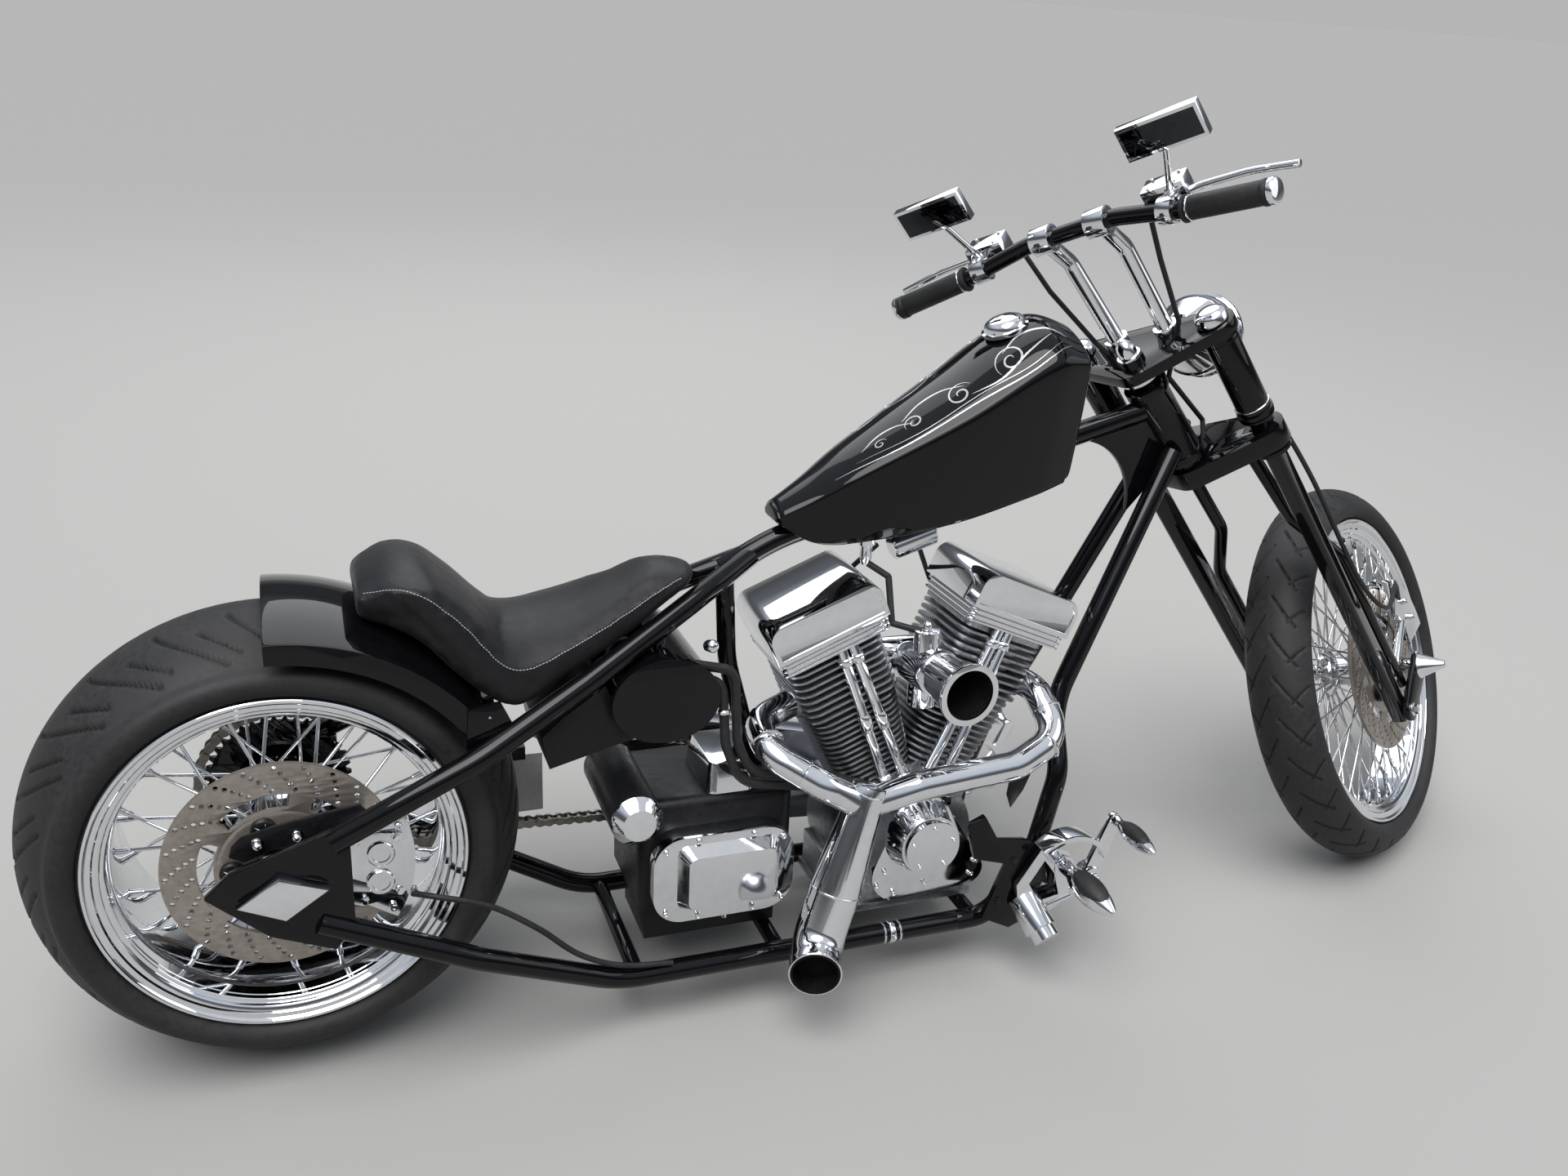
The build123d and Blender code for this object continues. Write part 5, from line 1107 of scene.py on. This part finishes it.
crankX, crankZ = 917.0, -128.0
boltCircles = [
    # x, z, radius, count, first turn, side, size
    (921, -94, 35, 5, 18, -158.1, 2.6), (921, -94, 54, 6, 0, -131.0, 2.4), (600, -80, 52, 5, 90, 206.0, 3.6),
    (600, -80, 88, 6, 60, 202.0, 3.4), (crankX, crankZ, 64, 5, -60, 202.0, 3.4),
    (0, 0, 154, 1, -29, -126.1, 5.0), (0, 0, 154, 1, 18, -126.1, 5.0),
]
boltTable = [
    # kind, size, way, places
    ("allen", 4.2, rightward, [(x, -126.1, z) for x, z in (
        (511, -53), (689, -53), (511, -155), (689, -155), (560, -41), (644, -41), (560, -166), (644, -166))]),
    ("allen", 4.2, rightward, [(x, -112.1, z) for x, z in (
        (852, -175), (882, -193), (934, -182), (864, -152), (1016, -180), (1022, -158))]),
    ("allen", 2.4, upward, [(x, y, 235.5) for x, y in circlePoints(915, -88, 14, 4, 45)]),
    ("acorn", 7, upward, [(915, -88, 236)]),
    ("acorn", 5, rightward, [(267, -134.2, 196)]), ("acorn", 5, (0, 1, 0), [(267, 134.2, 196)]),
    ("acorn", 6.5, rightward, [(-27, -127.4, 48), (21, -127.4, 53)]),
    ("hex", 3.4, rightward, [(873, -148, -250)]),
    ("hex", 4.4, rightward, [(142, -134.1, 34), (144, -134.1, -46), (98, -134.1, -54), (92, -134.1, 36)]),
    ("hex", 5.5, (0.6, -1, -0.2), [(160, -118, -58)]),
]
puckRows = [(0, 18), (0.6, 18), (0.9, 16.4), (0.91, 12), (0.6, 11.4), (0.6, 0)]
turnedTable = [
    # piece, start, end, profile, segments
    ("engineTrim", (600, 201.5, -80), (600, 206, -80), [(0, 62), (0.6, 62), (1, 59)], 64),
    ("engineTrim", (891, 8, 336), (959, 8, 358), [(0, 18), (0.04, 21), (0.96, 21), (1, 18)], 32),
    ("engineTrim", (122, -133.8, 14), (122, -139, 14), puckRows, 40),
    ("engineTrim", (120, -133.8, -28), (120, -139, -28), puckRows, 40),
    ("chassisBolts", (838, -20, 366), (838, -20, 322), [(0, 13), (0.3, 13), (0.35, 9), (0.8, 9), (1, 6)], 20),
    ("chassisBolts", (612, -96, -168), (612, -96, -196), [(0, 5), (0.7, 5), (0.72, 7), (1, 6)], 16),
    ("forkBolts", (0, 0, 540), (0, 0, 524), [(0, 22), (0.5, 20), (1, 8)], 32),
]
seamTable = [
    # weld rings of the exhaust: place, way, pipe radius
    ((706, -154, 60), (48, -32, -30), 22), ((664, -110, 95), (0, -1, -0.25), 22),
    ((1100, -158, 58), (-82, -22, -28), 22), ((1121, -110, 92), (2, -78, -48), 22),
    ((798, -172, 26), (-52, -16, -156), 26.8), ((750, -187, -118), (-52, -16, -156), 38),
]
ringTable = [
    # place, way, inner radius, outer radius, length
    ((873, -130, -250), forward, 16, 18, 10), ((860, -130, -250), forward, 16, 17.2, 4),
    ((886, -130, -250), forward, 16, 17.2, 4), ((577, -101, 249), (0.3, -1, 0.2), 4, 9, 24),
    ((576, -99, 198), (40, -2, -16), 6.8, 9, 8), ((598, -104, 148), (4, -8, -90), 6.8, 9, 8),
    ((800, -86, -14), (66, 28, -48), 6.8, 9, 8),
] + [(place, way, radius - 0.3, radius + 1.0, 4) for place, way, radius in seamTable]
diamond = [(-56, -6), (-4, 29), (56, 4), (1, -33)]
plateTable = [
    # piece, side, thickness, edge, outline of x and z
    ("chassisDarkBolts", -122, 3.0, 0.4, [(1075, 16), (1064, -4), (1060, -40), (1069, -64), (1088, -36), (1098, -10)]),
    ("chassisDarkBolts", -124.5, 6, 1.6, [(-62, 32), (-58, 46), (-46, 58), (-10, 68), (60, 80), (100, 85), (107, 76),
                                          (106, 54), (60, 44), (-10, 34), (-44, 22)]),
    ("axleDiamonds", -182.5, 16, 3.0, diamond), ("axleDiamonds", 182.5, 16, 3.0, diamond),
    ("plateFace", 206, 1.0, 0.2, [(222, -45), (390, -45), (390, -137), (222, -137)]),
    ("tailLens", 221, 6.0, 1.5, [(252, -40), (360, -40), (360, -24), (252, -24)]),
]
hoseTable = [
    # piece, radius, sides, points
    ("chassisHoses", 4.2, 12, [(160, -124, -60), (192, -146, -58), (258, -152, -80), (324, -150, -130),
                               (380, -147, -184), (442, -142, -218), (520, -138, -232)]),
    ("forkCables", 4.0, 10, [(250, -90, -30), (216, -112, 40), (110, -132, 90), (72, -130, 200), (84, -130, 420),
                             (92, -120, 560)]),
]
mouthTable = [
    # mouth, way out, place of the liner along it, depth, wall
    ((700, -250, -212), (-20.9, -54, -6.6), 0.4, 34,
     [(0.93, 33.0), (0, 33.0), (0, 36.6), (0.03, 36.6), (0.031, 33.8), (0.96, 33.8)]),
    ((931, -206, 180), (6, -90, 2), -5, 66,
     [(0.98, 25.2), (0.25, 36.8), (0, 36.8), (0, 37.6), (0.26, 37.6), (1, 26.0)]),
]

# engine, exhaust, frame and rear hub
for x, z, radius, count, start, side, size in boltCircles:
    for px, pz in circlePoints(x, z, radius, count, start):
        fit("chassisBolts", boltMesh((px, side, pz), (0, side, 0), size, "allen"))
for kind, size, way, places in boltTable:
    fit("chassisBolts", *(boltMesh(place, way, size, kind) for place in places))
for piece, start, end, rows, segments in turnedTable:
    fit(piece, turnedMesh(start, end, rows, segments))
fit("chassisRings", *(ringMesh(*row) for row in ringTable))
for piece, side, thickness, edge, outline in plateTable:
    fit(piece, sidePlate(outline, side, thickness, edge))
for piece, radius, sides, points in hoseTable:
    fit(piece, hoseMesh(points, radius, sides))
for mouth, way, place, depth, wall in mouthTable:
    way = Vector(way).normalized()
    fit("darkLiners", cupMesh(Vector(mouth) + way * place, way, depth, wall))
outlet, outletWay = Vector(mouthTable[0][0]), Vector(mouthTable[0][1]).normalized()
fit("chassisRings", lipMesh(outlet - outletWay * 2, outletWay, 34.2, 39.0, 4))
fit("chassisHoses", tubeMesh([(838, -20, 326), (846, -30, 286), (890, -60, 262), (910, -84, 232)], 5.0, [30, 30], 12))
for turn in (-22.5, 22.5):
    plug = onBarrel(turn, 0, 54, 312)
    fit("engineTrim", turnedMesh(plug, plug + Vector((0, 34, 8)), [(0, 11), (0.35, 11), (0.36, 7), (1, 6)], 16))
    lead, end = plug + Vector((0, 30, 7)), Vector((crankX + turn * 1.5, 40, 330))
    bow = [lead, lead + Vector((0, 34, 22)), (lead + end) / 2 + Vector((0, 40, 40)), end]
    fit("sparkLeads", tubeMesh(bow, 4.0, [20, 30], 10))
    for spread in (4, 34):
        spread = math.copysign(spread, turn)
        foot = Vector((crankX + spread * 1.2, -86, crankZ + 92))
        run = onBarrel(turn, spread * 0.6 - math.copysign(26, turn), -86, 378) - foot
        for share, wide, length in ((0.13, 11.5, 12), (0.50, 10.4, 30), (0.90, 11.0, 14)):
            fit("chassisRings", ringMesh(foot + run * share, run, 8.0, wide, length))

# forward controls
padTable = [
    # root, tip, neck, widest
    ((1142, 178, -147), (1162, 296, -167), 12.0, 22.0), ((1228, 174, -80), (1228, 284, -80), 9.0, 15.0),
]
padFacts = {"cells": 13, "spread": 66, "proud": 1.6, "sunk": -1.2, "rim": -0.3}


def padInsert(root, tip, neck, widest, facts):
    length, way = (tip - root).length, (tip - root).normalized()
    up = Vector((-0.30, 0, 1))
    up = (up - way * up.dot(way)).normalized()
    across = way.cross(up)
    parts = [2 * cell / (facts["cells"] - 1) - 1 for cell in range(facts["cells"])]
    layers = [(part, True) for part in parts] + [(part, False) for part in reversed(parts)]
    rows = arcPoints((neck, length * 0.18), (widest, length * 0.56), (neck * 0.4, length), 44)[4:37]
    rings = []
    for index, (radius, along) in enumerate(rows):
        share = 2 * index / (len(rows) - 1) - 1
        reach = math.radians(facts["spread"]) * max(0.0, 1 - share * share) ** 0.5
        ring = []
        for part, proud in layers:
            fade = min(1.0, 3.0 * (1 - max(abs(part), abs(share))))
            height = radius + (facts["proud"] * fade + facts["rim"] if proud else facts["sunk"])
            turn = reach * part
            ring.append(root + way * along + (up * math.cos(turn) + across * math.sin(turn)) * height)
        rings.append(ring)
    return skinned(rings)


for side in (-1, 1):
    for root, tip, neck, widest in padTable:
        root, tip = (Vector((x, y * side, z)) for x, y, z in (root, tip))
        fit("pegRubbers", padInsert(root, tip, neck, widest, padFacts))
    fit("chassisBolts", boltMesh((1196, side * 184.1, -176), (0, side, 0), 7, "hex"))
    for x, z in ((1040, -206), (1062, -136)):
        fit("chassisDarkBolts", boltMesh((x, side * 162, z), (0, side, 0), 5, "hex"))


# fork
def onLeg(along, hand, ahead=0.0, beside=0.0):
    low, high = forkFacts["low"], forkFacts["high"]
    share = (along - low[0]) / (high[0] - low[0])
    forward, out = (low[axis] + (high[axis] - low[axis]) * share for axis in (1, 2))
    return Vector((forward + ahead, hand * (out + beside), along))


legRings = [
    # piece, place along, inner radius, outer radius, length
    ("forkBlack", 752, 19, 28.5, 8), ("forkBlack", 742, 19, 27.2, 3), ("forkBlack", 604, 19, 28.5, 10),
    ("forkBlack", 596, 19, 27.4, 3), ("forkBlack", 530, 19, 29, 14), ("forkRings", 617, 26, 27.6, 3),
]
gripRings = [
    # piece, place, outer radius, length
    ("forkCables", (4, 184, 995), 19.4, 6), ("forkCables", (-12.6, 300, 990.4), 18.2, 8),
    ("forkRings", (3, 191, 994.8), 18.0, 3),
]
cablePoints = [(44, 122, 1004), (60, 96, 1000), (92, 60, 930), (98, 36, 800), (86, 30, 700), (40, 20, 600),
               (34, 14, 560)]
capBolts = [(36, 130), (60, 130), (36, 170), (60, 170)]
mirrorOutline = [(-54, -20), (54, -20), (54, 20), (-54, 20)]
for hand in (-1, 1):
    outward = (0, hand, 0)
    legWay = onLeg(781, hand) - onLeg(-85, hand)
    topRows = [(0, 25), (0.5, 25), (0.7, 22), (0.9, 14), (1, 3)]
    fit("forkBolts", turnedMesh(onLeg(776, hand), onLeg(798, hand), topRows, 40))
    for piece, along, inner, outer, length in legRings:
        fit(piece, ringMesh(onLeg(along, hand), legWay, inner, outer, length))
    for place, way, size, kind in [
        (onLeg(557, hand, 34), forward, 6, "allen"), (onLeg(766, hand, 34), forward, 5, "allen"),
        (onLeg(-85, hand, 0, 24.2), outward, 9, "hex"), ((126, hand * 132.2, -46.7), outward, 4, "allen"),
        ((60, hand * 42, 791), (0.1, 0, 1), 9, "hex"), ((43, hand * 38, 1005), (1, 0, 0.1), 4, "allen"),
        ((43, hand * 56, 1005), (1, 0, 0.1), 4, "allen"),
    ] + [((x, hand * y, 1024.2), upward, 2.4, "allen") for x, y in capBolts]:
        fit("forkBolts", boltMesh(place, way, size, kind))
    stand = (Matrix.Translation((20.4, hand * 191, 1103)) @ Matrix.Rotation(math.radians(90), 4, "Z")
             @ Matrix.Rotation(math.radians(90), 4, "X"))
    fit("mirrorFaces", plateMesh([mirrorOutline], 2.0, stand, 0.8))
    for piece, (x, y, z), outer, length in gripRings:
        fit(piece, ringMesh((x, y * hand, z), (-18, hand * 127, -5), 17, outer, length))
    fit("forkBolts", turnedMesh((-13.4, hand * 307, 990.2), (-15, hand * 316, 989.8),
                                [(0, 18.3), (0.55, 18.3), (0.85, 16.5), (1, 12)], 40))
    fit("forkCables", tubeMesh([(x, y * hand, z) for x, y, z in cablePoints], 4.0, [20, 60, 60, 60, 40], 10))
fit("forkBolts", boltMesh((0, 0, 789), upward, 15, "acorn"), boltMesh((256, -92.2, -84.7), rightward, 6.5, "allen"),
    boltMesh((256, -92.2, -42.7), rightward, 6.5, "allen"))
rake = math.radians(forkFacts["rake"])
level = Vector((math.cos(rake), 0, -math.sin(rake)))
lamp = Vector((205, 0, 668))
fit("forkRings", ringMesh((0, 0, 752), upward, 24, 31, 10), ringMesh(lamp + level * 28, level, 60, 69, 12))
lensRows = [(0, 60.5), (0.3, 58), (0.62, 45), (0.88, 24), (1, 0)]
fit("lampLens", turnedMesh(lamp + level * 31, lamp + level * 44, lensRows, 64))
fit("lampBowl", turnedMesh(lamp + level * 30.6, lamp + level * 31.2, [(0, 60), (1, 59)], 64))

for name, (finish, body) in trimFacts.items():
    placed(name, joined(trimMeshes[name]), bodyPlaces[body], finish, body, (), 35)
print("trim fitted:", len(trimMeshes))

# studio
viewFacts = {"place": (0.044, -1.690, 1.1096), "yaw": 21.52, "pitch": 24.11, "roll": 4.48,
             "focal": 1677.0 / 1920 * 36, "sensor": 36}
camera = bpy.data.cameras.new("camera")
cameraHolder = linked("camera", camera)
bpy.context.scene.camera = cameraHolder
yaw, pitch, roll = (math.radians(viewFacts[key]) for key in ("yaw", "pitch", "roll"))
lookWay = Vector((math.sin(yaw) * math.cos(pitch), math.cos(yaw) * math.cos(pitch), -math.sin(pitch)))
levelRight = Vector((math.cos(yaw), -math.sin(yaw), 0))
levelUp = levelRight.cross(lookWay)
viewRight = levelRight * math.cos(roll) + levelUp * math.sin(roll)
viewUp = levelUp * math.cos(roll) - levelRight * math.sin(roll)
cameraHolder.matrix_world = (Matrix.Translation(rearAxle + Vector(viewFacts["place"]))
                             @ Matrix((viewRight, viewUp, -lookWay)).transposed().to_4x4())
camera.sensor_width = viewFacts["sensor"]
camera.lens = viewFacts["focal"]
camera.clip_start = 0.01

studioFacts = {
    "floorHalf": 200, "floorColour": (0.31, 0.305, 0.295), "shownColour": (0.613, 0.614, 0.616), "strength": 0.75,
    "ground": (0.30, 0.295, 0.285), "zenith": (0.95, 0.98, 1.0),
    "bands": {0.02: (0.34, 0.34, 0.335), 0.12: (0.10, 0.105, 0.11), 0.30: (0.16, 0.17, 0.19),
              0.55: (0.75, 0.82, 0.95)},
    "target": (0, 0, 0.4),
}
lampTable = {
    # name: kind, place, settings
    "softSun": ("SUN", (-0.9, -1.0, 3.4), {"energy": 3.4, "angle": math.radians(50)}),
    "key": ("AREA", (-1.5, -3.0, 4.2), {"shape": "DISK", "size": 3.4, "energy": 32}),
    "fill": ("AREA", (3.5, -1.5, 2.8), {"shape": "DISK", "size": 2.8, "energy": 20}),
    "back": ("AREA", (0.3, 3.4, 4.2), {"shape": "DISK", "size": 4.6, "energy": 90}),
}
floorHalf = studioFacts["floorHalf"]
floorCorners = [(x * floorHalf, y * floorHalf, 0) for x, y in ((-1, -1), (1, -1), (1, 1), (-1, 1))]
floor = linked("studioFloor", meshFrom(floorCorners, [(0, 1, 2, 3)]))
floorPaint = newMaterial("studioFloor", {"Base Color": (*studioFacts["floorColour"], 1), "Roughness": 0.9,
                                         "Specular IOR Level": 0.0})[0]
floor.data.materials.append(floorPaint)

world = bpy.data.worlds.new("studio")
bpy.context.scene.world = world
world.use_nodes = True
sky = grow(world.node_tree, {"background": world.node_tree.nodes["Background"]}, {
    "coords": ("TexCoord", {}),
    "split": ("SeparateXYZ", {}),
    "ramp": ("ValToRGB", {}),
    "seen": ("LightPath", {}),
    "shown": ("Mix", {"data_type": "RGBA", "B": (*studioFacts["shownColour"], 1)}),
}, "coords.Generated > split.0, split.Z > ramp.Fac, seen.Is Camera Ray > shown.Factor, ramp.Color > shown.A, "
   "shown.Result > background.Color")
setValues(sky["background"], {"Strength": studioFacts["strength"]})
bands = sky["ramp"].color_ramp.elements
bands[0].color, bands[1].color = (*studioFacts["ground"], 1), (*studioFacts["zenith"], 1)
for place, colour in studioFacts["bands"].items():
    bands.new(place).color = (*colour, 1)

for name, (kind, place, settings) in lampTable.items():
    light = bpy.data.lights.new(name, kind)
    for key, value in settings.items():
        setattr(light, key, value)
    holder = linked(name, light)
    holder.location = place
    holder.rotation_mode = "QUATERNION"
    holder.rotation_quaternion = (Vector(studioFacts["target"]) - Vector(place)).to_track_quat("-Z", "Y")
bpy.context.scene.view_settings.view_transform = "Standard"
print("studio lit")
